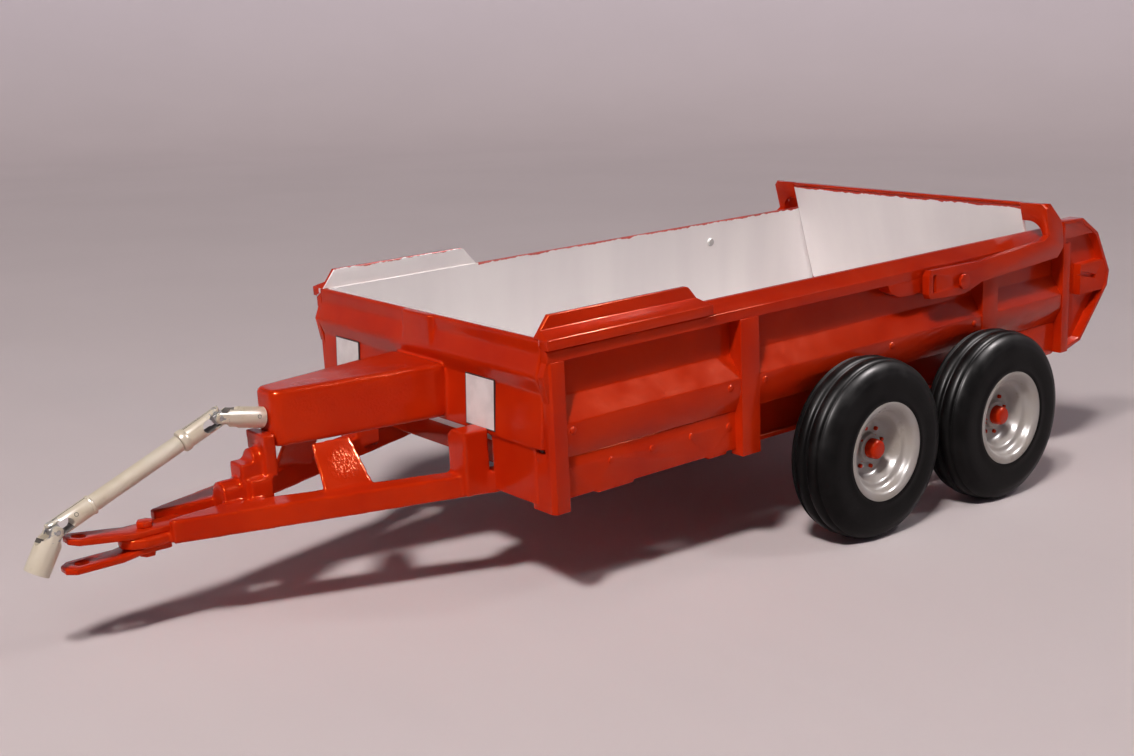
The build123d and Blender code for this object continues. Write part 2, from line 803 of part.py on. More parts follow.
with BuildPart() as pivot_tube:
    with BuildSketch(Plane(origin=(rocker_middle_x, -rocker_inner_y, wheel_radius + 1.5),
                           x_dir=(1, 0, 0), z_dir=(0, 1, 0))):
        Circle(pivot_radius)
    extrude(amount=2 * rocker_inner_y)
    for side in (1, -1):
        with BuildSketch(front.offset(-36.0)):
            with Locations((side * (rail_outer_y - 2.0), 28.5)):
                Rectangle(3.0, rail_low - 25.0 + 2.0)
        extrude(amount=14.0)
    add(frame_rails.part, mode=Mode.SUBTRACT)
pivot_tube.part.label = "tandem_pivot"
export_step(pivot_tube.part, "parts/tandem_pivot.step")

# ---------------------------------------------------------------- end gate
gate_pivot_x = -48.0
gate_pivot_z = 64.8
gate_pin_radius = 1.3
gate_pin_fit = 0.1
gate_side_gap = 0.6
gate_half = tub_inner_y - gate_side_gap
arm_side_gap = 0.6
arm_inner_y = band_y + arm_side_gap
arm_outer_y = arm_inner_y + 2.3
gate_thickness = 1.3

# outline of the arm with its lever and its upright end: x, z
arm_profile = (
    (-33.6, 61.6),
    (-32.7, 63.0),
    (-32.7, 68.4),
    (-34.0, 69.9),
    (-57.0, 69.5),
    (-88.4, 71.2),
    (-91.0, 72.6),
    (-91.5, 76.0),
    (-89.7, 82.5),
    (-91.0, 82.5),
    (-96.9, 76.8),
    (-98.0, 74.0),
    (-98.6, 68.0),
    (-95.6, 65.1),
    (-57.5, 63.2),
    (-50.0, 60.9),
    (-46.0, 60.9),
)
panel_top = (-88.6, 81.2)
panel_foot = (-98.4, 46.6)
ear_low = 76.8
ear_high = 82.5
ear_corner = 1.4
ear_round = 4.2
ear_thickness = 2.0


def leaning_plate(z_low, z_high, y_low, y_high, thickness):
    """Corners in (x, z) of a plate that follows the lean of the gate."""
    slope = (panel_top[0] - panel_foot[0]) / (panel_top[1] - panel_foot[1])
    low_x = panel_foot[0] + (z_low - panel_foot[1]) * slope
    high_x = panel_foot[0] + (z_high - panel_foot[1]) * slope
    with BuildPart() as plate:
        with BuildSketch(flank.offset(-y_high)):
            with BuildLine():
                Polyline(
                    (low_x, z_low),
                    (high_x, z_high),
                    (high_x - thickness, z_high),
                    (low_x - thickness, z_low),
                    close=True,
                )
            make_face()
        extrude(amount=y_high - y_low)
    return plate.part


def gate_ear(side):
    """Ear that reaches from the sheet's edge over the rail to the arm, round at its inner corner."""
    with BuildPart() as ear:
        with BuildSketch(front.offset(panel_top[0] - 8)):
            with BuildLine():
                Polyline(
                    (side * (arm_inner_y - 0.3), rail_crease + 2.3),
                    (side * arm_outer_y, rail_crease + 2.3),
                    (side * arm_outer_y, ear_high - ear_corner),
                    (side * (arm_outer_y - ear_corner), ear_high),
                    (side * gate_half, ear_high),
                    (side * gate_half, ear_low),
                    (side * (arm_inner_y - 0.3 - ear_round), ear_low),
                )
                RadiusArc((side * (arm_inner_y - 0.3 - ear_round), ear_low),
                          (side * (arm_inner_y - 0.3), rail_crease + 2.3), side * ear_round)
            make_face()
        extrude(amount=12)
        slab = leaning_plate(ear_low - 10, ear_high + 2, -60, 60, ear_thickness)
        add(slab, mode=Mode.INTERSECT)
    return ear.part


gate_panel = leaning_plate(panel_foot[1], panel_top[1], -gate_half, gate_half, gate_thickness)
with BuildPart() as gate_sheet:
    add(gate_panel)
gate_sheet.part.label = "gate_sheet"
export_step(gate_sheet.part, "parts/gate_sheet.step")

for name, side in (("left", 1), ("right", -1)):
    with BuildPart() as arm:
        with BuildSketch(flank.offset(-side * arm_inner_y)):
            with BuildLine():
                Polyline(*arm_profile, close=True)
            make_face()
            with Locations((gate_pivot_x, gate_pivot_z)):
                Circle(gate_pin_radius + gate_pin_fit, mode=Mode.SUBTRACT)
            with Locations((-35.4, 65.8)):
                Rectangle(1.4, 5.2, mode=Mode.SUBTRACT)
        extrude(amount=-side * (arm_outer_y - arm_inner_y))
        add(gate_ear(side))
    arm.part.label = f"gate_arm_{name}"
    export_step(arm.part, f"parts/gate_arm_{name}.step")

# the rolled top edge, then the ribs on the back: bottom, height, thickness
rib_table = (
    (50.0, 3.0, 1.2),
    (62.0, 3.0, 1.2),
    (74.0, 3.0, 1.2),
)
with BuildPart() as gate_bars:
    with BuildSketch(flank.offset(-gate_half)):
        with BuildLine():
            Polyline(
                (-88.6, 81.2),
                (-87.9, 82.5),
                (-91.0, 82.5),
                (-91.0, 81.2),
                close=True,
            )
        make_face()
    extrude(amount=2 * gate_half)
    for low, height, thickness in rib_table:
        rib = leaning_plate(low, low + height, -gate_half + 1, gate_half - 1, thickness)
        with Locations(deck.x_dir * -gate_thickness):
            add(rib)
    add(gate_panel, mode=Mode.SUBTRACT)
gate_bars.part.label = "gate_bars"
export_step(gate_bars.part, "parts/gate_bars.step")

with BuildPart() as gate_pins:
    for side in (1, -1):
        with BuildSketch(flank.offset(-side * recess_y)):
            with Locations((gate_pivot_x, gate_pivot_z)):
                Circle(gate_pin_radius)
        extrude(amount=-side * (arm_outer_y + 0.5 - recess_y))
        with BuildSketch(flank.offset(-side * tub_inner_y)):
            with Locations((gate_pivot_x + 0.7, gate_pivot_z + 1.5)):
                Circle(gate_pin_radius)
        extrude(amount=side * 0.5)
        with BuildSketch(flank.offset(-side * (arm_outer_y + 0.5))):
            with Locations((gate_pivot_x, gate_pivot_z)):
                Circle(gate_pin_radius + 1.0)
        extrude(amount=-side * 0.8)
        with BuildSketch(flank.offset(-side * recess_y)):
            with Locations((gate_pivot_x, gate_pivot_z)):
                RectangleRounded(9.0, 5.0, 1.0)
        extrude(amount=-side * (band_y - recess_y))
        # half-round lug under the rail
        with BuildSketch(flank.offset(-side * recess_y)):
            with BuildLine():
                Polyline(
                    (-18.3, rail_bottom),
                    (-19.6, 65.2),
                    (-23.0, 63.5),
                    (-29.0, 63.2),
                    (-35.0, 64.0),
                    (-38.2, 65.6),
                    (-39.2, rail_bottom),
                    close=True,
                )
            make_face()
        extrude(amount=-side * (band_y - recess_y))
gate_pins.part.label = "gate_pivots"
export_step(gate_pins.part, "parts/gate_pivots.step")

# ---------------------------------------------------------------- beater at the back
beater_tube_radius = 3.0
beater_reach = 10.4
paddle_width = 5.0
paddle_thickness = 1.4
paddles = 8
with BuildPart() as beater:
    shaft_end = rear_plate_outer_y + bearing_cover - running_gap
    with BuildSketch(flank.offset(-shaft_end)):
        with Locations((beater_x, beater_z)):
            Circle(beater_shaft_radius)
    extrude(amount=2 * shaft_end)
    with BuildSketch(flank.offset(-47.5)):
        with Locations((beater_x, beater_z)):
            Circle(beater_tube_radius)
    extrude(amount=2 * 47.5)
    for i in range(paddles):
        y = -42.0 + i * 84.0 / (paddles - 1)
        with BuildSketch(flank.offset(-y - paddle_width / 2)):
            with Locations(Location((beater_x, beater_z), i * 45.0)):
                Rectangle(2 * beater_reach, paddle_thickness)
        extrude(amount=paddle_width)
beater.part.label = "beater"
export_step(beater.part, "parts/beater.step")

# ---------------------------------------------------------------- driveline
joint_rear = (163.7, 56.9)
rear_yoke_lift = 12.0
shaft_drop = 22.8
front_joint_ahead = 2.106
joint_span = upper_strap_tip + front_joint_ahead - joint_rear[0]
shaft_length = joint_span / math.cos(math.radians(shaft_drop))
end_yoke_drop = 60.0
rear_yoke_radius = 2.65
shaft_radius = 2.5
tube_radius = 2.1
collar_radius = 2.35
collar_start = 9.5
end_yoke_radius = 3.0
rod_radius = 1.1
rod_reach = 20.0
slide_fit = 0.1
ear_inner = 1.6
ear_half = 1.3
ear_root_half = 2.1
ear_straight = 1.7
ear_root = 2.6
rear_yoke_slot = 5.8
sleeve_slot = 5.2
collar_slot = 4.5
end_yoke_slot = 4.5
cross_half = 1.25
cross_pin_radius = 0.55
cross_pin_fit = 0.1
rear_yoke_back = 151.9
sleeve_end = 10.9
end_yoke_length = 10.5
end_bore_radius = 1.3
end_bore_depth = 5.0


def shaft_frame(x, z, drop, spin=0.0):
    """Location in body coordinates whose z runs down the shaft and whose x lies across it."""
    return Location(deck) * Location((x, 0, z), (0, 90 + drop, 0)) * Location((0, 0, 0), (0, 0, spin))


def yoke(frame, radius, slot_end, length):
    """Round bar with a slot across its tip, whose two ears hold the cross; the joint is at its origin."""
    side_on = Plane(Location(frame) * Location((0, 0, 0), (90, 0, 0)))
    edge_on = Plane(Location(frame) * Location((0, 0, 0), (0, 0, 90)) * Location((0, 0, 0), (90, 0, 0)))
    with BuildPart() as ears:
        with BuildSketch(Plane(frame).offset(-ear_half)):
            Circle(radius)
        extrude(amount=length + ear_half)
        with BuildSketch(side_on):
            Circle(ear_half)
            with BuildLine():
                Polyline(
                    (-ear_half, 0),
                    (-ear_half, ear_straight),
                    (-ear_root_half, ear_root),
                    (-ear_root_half, slot_end - ear_inner),
                    (-radius - 1, slot_end - ear_inner),
                    (-radius - 1, length + 1),
                    (radius + 1, length + 1),
                    (radius + 1, slot_end - ear_inner),
                    (ear_root_half, slot_end - ear_inner),
                    (ear_root_half, ear_root),
                    (ear_half, ear_straight),
                    (ear_half, 0),
                    close=True,
                )
            make_face()
        extrude(amount=radius, both=True, mode=Mode.INTERSECT)
        with BuildSketch(edge_on):
            with Locations((0, (slot_end - ear_inner - 2) / 2)):
                Rectangle(2 * ear_inner, slot_end - ear_inner + 2)
            with Locations((0, slot_end - ear_inner)):
                Circle(ear_inner)
        extrude(amount=radius + 1, both=True, mode=Mode.SUBTRACT)
        with BuildSketch(side_on):
            Circle(cross_pin_radius + cross_pin_fit)
        extrude(amount=radius + 1, both=True, mode=Mode.SUBTRACT)
    return ears.part


def cross(frame_a, radius_a, frame_b, radius_b):
    """A cube with one pin through the ears of each yoke."""
    with BuildPart() as spider:
        with Locations(frame_b):
            Box(2 * cross_half, 2 * cross_half, 2 * cross_half)
        for frame, radius in ((frame_a, radius_a), (frame_b, radius_b)):
            with BuildSketch(Plane(Location(frame) * Location((0, 0, 0), (90, 0, 0)))):
                Circle(cross_pin_radius)
            extrude(amount=radius - 0.1, both=True)
    return spider.part


rear_back = shaft_frame(joint_rear[0], joint_rear[1], -rear_yoke_lift + 180)
rear_shaft = shaft_frame(joint_rear[0], joint_rear[1], shaft_drop, 90)
drop = math.radians(shaft_drop)
joint_front = (joint_rear[0] + shaft_length * math.cos(drop), joint_rear[1] - shaft_length * math.sin(drop))
front_shaft = shaft_frame(joint_front[0], joint_front[1], shaft_drop + 180, 90)
front_end = shaft_frame(joint_front[0], joint_front[1], end_yoke_drop)

rear_length = (joint_rear[0] - rear_yoke_back) / math.cos(math.radians(rear_yoke_lift))
with BuildPart() as rear_yoke:
    add(yoke(rear_back, rear_yoke_radius, rear_yoke_slot, rear_length))
rear_yoke.part.label = "pto_rear_yoke"
export_step(rear_yoke.part, "parts/pto_rear_yoke.step")

with BuildPart() as rear_cross:
    add(cross(rear_back, rear_yoke_radius, rear_shaft, shaft_radius))
rear_cross.part.label = "pto_rear_cross"
export_step(rear_cross.part, "parts/pto_rear_cross.step")

# the sleeve carries the rod on which the tube slides
with BuildPart() as sleeve:
    add(yoke(rear_shaft, shaft_radius, sleeve_slot, sleeve_end))
    with BuildSketch(Plane(rear_shaft).offset(sleeve_end)):
        Circle(rod_radius)
    extrude(amount=rod_reach)
sleeve.part.label = "pto_sleeve"
export_step(sleeve.part, "parts/pto_sleeve.step")

with BuildPart() as tube:
    add(yoke(front_shaft, collar_radius, collar_slot, collar_start))
    with BuildSketch(Plane(front_shaft).offset(collar_start)):
        Circle(tube_radius)
    extrude(amount=shaft_length - sleeve_end - running_gap - collar_start)
    with BuildSketch(Plane(rear_shaft).offset(sleeve_end)):
        Circle(rod_radius + slide_fit)
    extrude(amount=rod_reach + running_gap, mode=Mode.SUBTRACT)
tube.part.label = "pto_tube"
export_step(tube.part, "parts/pto_tube.step")

with BuildPart() as front_cross:
    add(cross(front_end, end_yoke_radius, front_shaft, collar_radius))
front_cross.part.label = "pto_front_cross"
export_step(front_cross.part, "parts/pto_front_cross.step")

with BuildPart() as end_yoke:
    add(yoke(front_end, end_yoke_radius, end_yoke_slot, end_yoke_length))
    with BuildSketch(Plane(front_end).offset(end_yoke_length - end_bore_depth)):
        Circle(end_bore_radius)
    extrude(amount=end_bore_depth, mode=Mode.SUBTRACT)
end_yoke.part.label = "pto_end_yoke"
export_step(end_yoke.part, "parts/pto_end_yoke.step")
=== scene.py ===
"""Looks of the toy box spreader: enamel, tub paint, wheels, driveline and a plain studio."""

import json
import math

import bpy
from mathutils import Matrix, Vector

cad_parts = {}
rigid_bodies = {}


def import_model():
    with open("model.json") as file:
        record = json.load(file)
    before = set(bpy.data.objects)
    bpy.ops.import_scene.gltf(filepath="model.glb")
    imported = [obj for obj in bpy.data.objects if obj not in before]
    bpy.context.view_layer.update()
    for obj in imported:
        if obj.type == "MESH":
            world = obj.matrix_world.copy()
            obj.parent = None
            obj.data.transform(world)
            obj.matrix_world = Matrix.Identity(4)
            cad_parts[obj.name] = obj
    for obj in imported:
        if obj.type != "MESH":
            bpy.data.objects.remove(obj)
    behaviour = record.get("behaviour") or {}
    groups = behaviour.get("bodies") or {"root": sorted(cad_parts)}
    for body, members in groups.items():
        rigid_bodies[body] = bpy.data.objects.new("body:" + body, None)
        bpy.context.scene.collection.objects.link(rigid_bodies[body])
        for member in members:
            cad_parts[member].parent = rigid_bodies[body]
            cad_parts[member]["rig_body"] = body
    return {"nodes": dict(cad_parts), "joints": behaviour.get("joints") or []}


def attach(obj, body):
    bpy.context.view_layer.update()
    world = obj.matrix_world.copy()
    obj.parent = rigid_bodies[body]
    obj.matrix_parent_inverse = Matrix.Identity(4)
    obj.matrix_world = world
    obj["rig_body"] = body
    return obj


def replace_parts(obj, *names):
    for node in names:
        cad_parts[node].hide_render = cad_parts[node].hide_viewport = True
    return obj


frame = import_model()

bl_info = {
    "name": "Toy Box Spreader",
    "version": (1, 0, 0),
    "blender": (4, 5, 0),
    "location": "View3D > Sidebar > Spreader",
    "description": "Finishes the toy box spreader: paint, tyres, rims, driveline and studio",
    "category": "Object",
}

MM = 0.001
JOINTS = {joint["name"]: joint for joint in frame["joints"]}
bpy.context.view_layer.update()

# ---------------------------------------- stance, in millimetres
FRONT_AXLE_X, _, WHEEL_RADIUS = (v / MM for v in JOINTS["front_left_wheel_turn"]["pos_m"])
REAR_AXLE_X = JOINTS["rear_left_wheel_turn"]["pos_m"][0] / MM
RAKE = math.radians(2.19)
LEAN = Matrix.Rotation(RAKE, 3, "Y")
DECK_UP = LEAN @ Vector((0, 0, 1))
DECK_AHEAD = LEAN @ Vector((1, 0, 0))


def placed(x, y, z):
    """Point of the leaning body, in millimetres from the foot of the front wheel, as metres."""
    hub = Vector((FRONT_AXLE_X, 0, WHEEL_RADIUS))
    return (hub + LEAN @ Vector((x, y, z - WHEEL_RADIUS))) * MM


# ---------------------------------------- settings
def colour_setting(name, description, default):
    return bpy.props.FloatVectorProperty(
        name=name, description=description, subtype="COLOR", size=3, min=0, max=1, default=default)


class SpreaderPaint(bpy.types.PropertyGroup):
    enamel: colour_setting("Enamel", "Orange-red paint of the steelwork", (0.51, 0.0245, 0.0022))
    enamel_deep: colour_setting(
        "Enamel, thick", "Paint where it has run thick", (0.43, 0.016, 0.0016))
    white: colour_setting("Tub white", "Satin white inside the box", (0.80, 0.77, 0.76))
    cream: colour_setting("Rim cream", "Paint of the rims", (0.34, 0.327, 0.313))
    warm_cream: colour_setting("Driveline cream", "Paint of the driveline", (0.62, 0.57, 0.46))
    rubber: colour_setting("Rubber", "Tyre rubber", (0.0035, 0.0032, 0.0032))
    metal: colour_setting(
        "Bare metal", "Zinc that shows where paint has chipped", (0.30, 0.31, 0.32))


class SpreaderSizes(bpy.types.PropertyGroup):
    edge: bpy.props.FloatProperty(
        name="Edge radius", description="Rounding of a painted edge",
        subtype="DISTANCE", unit="LENGTH", min=0.0, max=0.002, default=0.00045)
    steps: bpy.props.IntProperty(
        name="Edge steps", description="Faces across a rounded edge", min=1, max=6, default=3)
    spin_steps: bpy.props.IntProperty(
        name="Wheel steps", description="Faces round a wheel", min=24, max=256, default=112)
    rivet: bpy.props.FloatProperty(
        name="Rivet radius", description="Radius of a rivet head",
        subtype="DISTANCE", unit="LENGTH", min=0.0002, max=0.003, default=0.0010)
    nut: bpy.props.FloatProperty(
        name="Wheel nut radius", description="Radius across the corners of a wheel nut",
        subtype="DISTANCE", unit="LENGTH", min=0.0002, max=0.003, default=0.00066)
    nut_circle: bpy.props.FloatProperty(
        name="Nut circle", description="Radius of the circle of wheel nuts",
        subtype="DISTANCE", unit="LENGTH", min=0.002, max=0.01, default=0.00575)


class SpreaderStudio(bpy.types.PropertyGroup):
    floor: colour_setting(
        "Floor", "Colour of the floor and of the cove behind it", (0.66, 0.60, 0.61))
    cove: colour_setting("Cove", "Colour of the upper cove", (0.95, 0.90, 1.0))
    reach: bpy.props.FloatProperty(
        name="Floor reach", description="Radius of the level floor",
        subtype="DISTANCE", unit="LENGTH", min=1.3, max=10.0, default=1.5)
    key_strength: bpy.props.FloatProperty(
        name="Key light",
        description="Strength of the light above and in front, in watts a square metre",
        min=0, max=100, default=1.34)
    near_power: bpy.props.FloatProperty(
        name="Near light",
        description="Power of the lamp that stands where the key light comes from",
        subtype="POWER", unit="POWER", min=0, max=1000, default=3.3)
    side_strength: bpy.props.FloatProperty(
        name="Side light",
        description="Strength of the light above and beside, in watts a square metre",
        min=0, max=100, default=0.12)
    gleam_power: bpy.props.FloatProperty(
        name="Gleam", description="Power of the lamps that only make the enamel gleam",
        subtype="POWER", unit="POWER", min=0, max=1000, default=42.0)
    air_strength: bpy.props.FloatProperty(
        name="Room light", description="Strength of the light from all round", min=0, max=10,
        default=0.07)
    lens: bpy.props.FloatProperty(
        name="Lens", description="Focal length of the camera, in millimetres",
        subtype="DISTANCE_CAMERA", unit="CAMERA", min=10, max=300, default=48.42)


# ---------------------------------------- node helpers
class Recipe:
    """A material under construction: a principled shader and the nodes that feed it."""

    def __init__(self, name, **constants):
        self.material = bpy.data.materials.new(name)
        self.material.use_nodes = True
        self.tree = self.material.node_tree
        self.shader = self.tree.nodes["Principled BSDF"]
        for socket, value in constants.items():
            self.shader.inputs[socket.replace("_", " ")].default_value = value
        self.place = self.add("ShaderNodeTexCoord").outputs["Object"]

    def add(self, kind, **settings):
        made = self.tree.nodes.new(kind)
        for key, value in settings.items():
            setattr(made, key, value)
        return made

    def wire(self, source, target):
        self.tree.links.new(source, target)

    def feed(self, target, value):
        if isinstance(value, bpy.types.NodeSocket):
            self.wire(value, target)
        else:
            target.default_value = value

    def noise(self, scale, detail=2.0, roughness=0.5, stretch=None, distortion=0.0):
        """Noise with `scale` features in a metre."""
        source = self.place
        if stretch:
            mapping = self.add("ShaderNodeMapping")
            mapping.inputs["Scale"].default_value = stretch
            self.wire(source, mapping.inputs["Vector"])
            source = mapping.outputs["Vector"]
        made = self.add("ShaderNodeTexNoise")
        made.inputs["Scale"].default_value = scale
        made.inputs["Detail"].default_value = detail
        made.inputs["Roughness"].default_value = roughness
        made.inputs["Distortion"].default_value = distortion
        self.wire(source, made.inputs["Vector"])
        return made.outputs["Fac"]

    def math(self, operation, a, b):
        made = self.add("ShaderNodeMath", operation=operation)
        self.feed(made.inputs[0], a)
        self.feed(made.inputs[1], b)
        return made.outputs[0]

    def span(self, value, low, high, out_low=0.0, out_high=1.0):
        """Maps low..high to out_low..out_high, held at both ends."""
        made = self.add("ShaderNodeMapRange", clamp=True)
        self.feed(made.inputs["Value"], value)
        made.inputs["From Min"].default_value = low
        made.inputs["From Max"].default_value = high
        made.inputs["To Min"].default_value = out_low
        made.inputs["To Max"].default_value = out_high
        return made.outputs["Result"]

    def mix(self, factor, a, b):
        """Colour b over colour a, by factor; a plain colour has three numbers."""
        made = self.add("ShaderNodeMix", data_type="RGBA")
        self.feed(made.inputs["Factor"], factor)
        for socket, value in ((made.inputs[6], a), (made.inputs[7], b)):
            self.feed(socket, (*value, 1.0) if isinstance(value, tuple) else value)
        return made.outputs[2]

    def along(self, axis):
        """Distance from the front wheel's foot along an axis of the leaning body, in metres."""
        dot = self.add("ShaderNodeVectorMath", operation="DOT_PRODUCT")
        self.wire(self.place, dot.inputs[0])
        dot.inputs[1].default_value = axis
        return self.math("SUBTRACT", dot.outputs["Value"], axis.dot(placed(0, 0, 0)))

    def distance(self, point):
        made = self.add("ShaderNodeVectorMath", operation="DISTANCE")
        self.wire(self.place, made.inputs[0])
        made.inputs[1].default_value = point
        return made.outputs["Value"]

    def bump(self, *layers):
        """Layers of (height, strength, distance in metres), one over the other."""
        below = None
        for height, strength, distance in layers:
            made = self.add("ShaderNodeBump")
            made.inputs["Strength"].default_value = strength
            made.inputs["Distance"].default_value = distance
            self.feed(made.inputs["Height"], height)
            if below:
                self.wire(below, made.inputs["Normal"])
            below = made.outputs["Normal"]
        self.wire(below, self.shader.inputs["Normal"])

    def finish(self, colour, roughness=None, metallic=None):
        for socket, value in (("Base Color", colour), ("Roughness", roughness),
                              ("Metallic", metallic)):
            if value is not None:
                self.feed(self.shader.inputs[socket], value)
        return self.material


# ---------------------------------------- paints
# places where the enamel has dried in beads: body millimetres, reach
ROUGH_SPOTS = (
    ((124.0, 9.5, 58.0), 13.0),
    ((140.0, 7.0, 59.0), 9.0),
    ((124.0, -9.5, 58.0), 13.0),
    ((137.0, 12.0, 42.0), 5.0),
    ((137.0, -12.0, 42.0), 5.0),
)
# where the white ends, in body millimetres: heights in the box, on the boards and on the gate, and
# how far back the white still covers the rim of the box
TUB_LINE = 72.75
BOARD_LINE = 78.15
GATE_LINE = 80.6
RIM_WHITE_FROM = 51.0
NO_RIM_WHITE = 200.0
# how far that line wanders and how soft it is, in metres
LINE_WANDER = 0.0004
LINE_BLUR = 0.0001


def enamel_colour(recipe, paint):
    """Orange-red, darker where it has run thick."""
    patches = recipe.span(recipe.noise(45.0, 3.0), 0.35, 0.65)
    return recipe.mix(patches, tuple(paint.enamel_deep), tuple(paint.enamel))


def make_enamel(paint):
    """Thick gloss enamel that swells, sags and has fine orange peel, with beads in places."""
    recipe = Recipe("enamel_orange", Specular_IOR_Level=0.25, Specular_Tint=(1.0, 0.19, 0.03, 1.0),
                    Coat_Weight=0.12, Coat_Roughness=0.035)
    swell = recipe.noise(70.0, 1.0)
    sag = recipe.noise(210.0, 2.0, distortion=0.3)
    peel = recipe.noise(1300.0, 2.5)
    beads = recipe.noise(1700.0, 2.0)
    heavy = 0.0
    for spot, reach in ROUGH_SPOTS:
        away = recipe.distance(placed(*spot))
        near = recipe.span(away, 0.5 * reach * MM, reach * MM, 1.0, 0.0)
        heavy = recipe.math("MAXIMUM", heavy, near)
    recipe.bump((swell, 0.30, 0.00060), (sag, 0.28, 0.00022), (peel, 0.30, 0.00005),
                (recipe.math("MULTIPLY", beads, heavy), 0.9, 0.00022))
    roughness = recipe.span(recipe.noise(90.0, 4.0), 0.3, 0.7, 0.14, 0.26)
    return recipe.finish(enamel_colour(recipe, paint), roughness)


def make_white(name, paint, line_z, line_x=NO_RIM_WHITE):
    """Satin white with the enamel's ragged edge above line_z and behind line_x."""
    recipe = Recipe(name, Specular_IOR_Level=0.4, Coat_Weight=0.15, Coat_Roughness=0.2)
    streaks = recipe.noise(60.0, 3.0, stretch=(1.0, 1.0, 0.12))
    mottle = recipe.noise(210.0, 4.0)
    white = tuple(paint.white)
    shade = tuple(v * f for v, f in zip(white, (0.93, 0.925, 0.935)))
    base = recipe.mix(recipe.span(streaks, 0.35, 0.65), shade, white)
    scuff = recipe.span(recipe.noise(480.0, 5.0, 0.75), 0.70, 0.78)
    base = recipe.mix(recipe.math("MULTIPLY", scuff, 0.35), base, (0.33, 0.31, 0.30))
    wander = recipe.span(recipe.noise(260.0, 4.0, 0.6), 0.3, 0.7, -LINE_WANDER, LINE_WANDER)

    def side_of(axis, line, before, after):
        place = recipe.math("ADD", recipe.along(axis), wander)
        return recipe.span(place, line * MM - LINE_BLUR, line * MM + LINE_BLUR, before, after)

    over = side_of(DECK_UP, line_z, 0.0, 1.0)
    behind = side_of(DECK_AHEAD, line_x, 1.0, 0.0)
    recipe.bump((mottle, 0.12, 0.00008), (recipe.noise(1100.0), 0.12, 0.00003))
    painted_over = recipe.math("MULTIPLY", over, behind)
    return recipe.finish(recipe.mix(painted_over, base, enamel_colour(recipe, paint)),
                         recipe.span(mottle, 0.3, 0.7, 0.34, 0.46))


def make_cream(name, cream, paint, joints=(), hubs=()):
    """Cream paint, chipped to bare metal round the joints, flecked with enamel round the hubs."""
    recipe = Recipe(name, Specular_IOR_Level=0.3, Coat_Weight=0.12, Coat_Roughness=0.12)
    warm = tuple(v * f for v, f in zip(cream, (0.97, 0.93, 0.86)))
    colour = recipe.mix(recipe.span(recipe.noise(120.0, 3.0), 0.35, 0.65), warm, cream)
    metallic = 0.0
    flake = recipe.noise(620.0, 5.0, 0.62)
    for joint in joints:
        near = recipe.span(recipe.distance(joint), 0.0022, 0.0052, 0.17, -0.12)
        chipped = recipe.span(recipe.math("ADD", flake, near), 0.64, 0.655)
        colour = recipe.mix(chipped, colour, tuple(paint.metal))
        metallic = recipe.math("MAXIMUM", metallic, recipe.math("MULTIPLY", chipped, 0.8))
    for hub in hubs:
        near = recipe.span(recipe.distance(hub), 0.0045, 0.0085, 0.10, -0.2)
        fleck = recipe.span(recipe.math("ADD", recipe.noise(800.0, 3.0, 0.6), near), 0.74, 0.75)
        colour = recipe.mix(fleck, colour, tuple(paint.enamel))
    recipe.bump((recipe.noise(300.0, 3.0), 0.2, 0.00008), (recipe.noise(1500.0), 0.12, 0.00002))
    roughness = recipe.span(recipe.noise(240.0, 3.0), 0.3, 0.7, 0.26, 0.40)
    return recipe.finish(colour, roughness, metallic if joints else None)


def make_rubber(paint):
    """Black rubber with patches of dust and a little lint."""
    recipe = Recipe("tyre_black", Specular_IOR_Level=0.07)
    rubber = tuple(paint.rubber)
    dusty = tuple(v * 1.6 + 0.002 for v in rubber)
    dust = recipe.span(recipe.noise(130.0, 4.0, 0.6), 0.42, 0.72)
    lint = recipe.span(recipe.noise(1900.0, 2.0, 0.6), 0.74, 0.78, 0.0, 0.35)
    colour = recipe.mix(dust, rubber, dusty)
    colour = recipe.mix(lint, colour, (0.09, 0.085, 0.085))
    recipe.bump((recipe.noise(2200.0, 3.0), 0.18, 0.00003))
    return recipe.finish(colour, recipe.span(dust, 0.0, 1.0, 0.36, 0.52))


def make_plain(name, colour, roughness, metallic=0.0, grain=900.0):
    """A plainly finished small part, such as steel, zinc or the black edge of a plate."""
    recipe = Recipe(name, Metallic=metallic)
    worn = tuple(v * 0.8 for v in colour)
    patches = recipe.span(recipe.noise(grain * 0.3, 3.0), 0.35, 0.65)
    recipe.bump((recipe.noise(grain, 3.0), 0.15, 0.00003))
    spread = recipe.span(recipe.noise(grain * 0.5, 3.0), 0.3, 0.7, roughness - 0.06,
                         roughness + 0.06)
    return recipe.finish(recipe.mix(patches, worn, colour), spread)


MATERIALS = {}


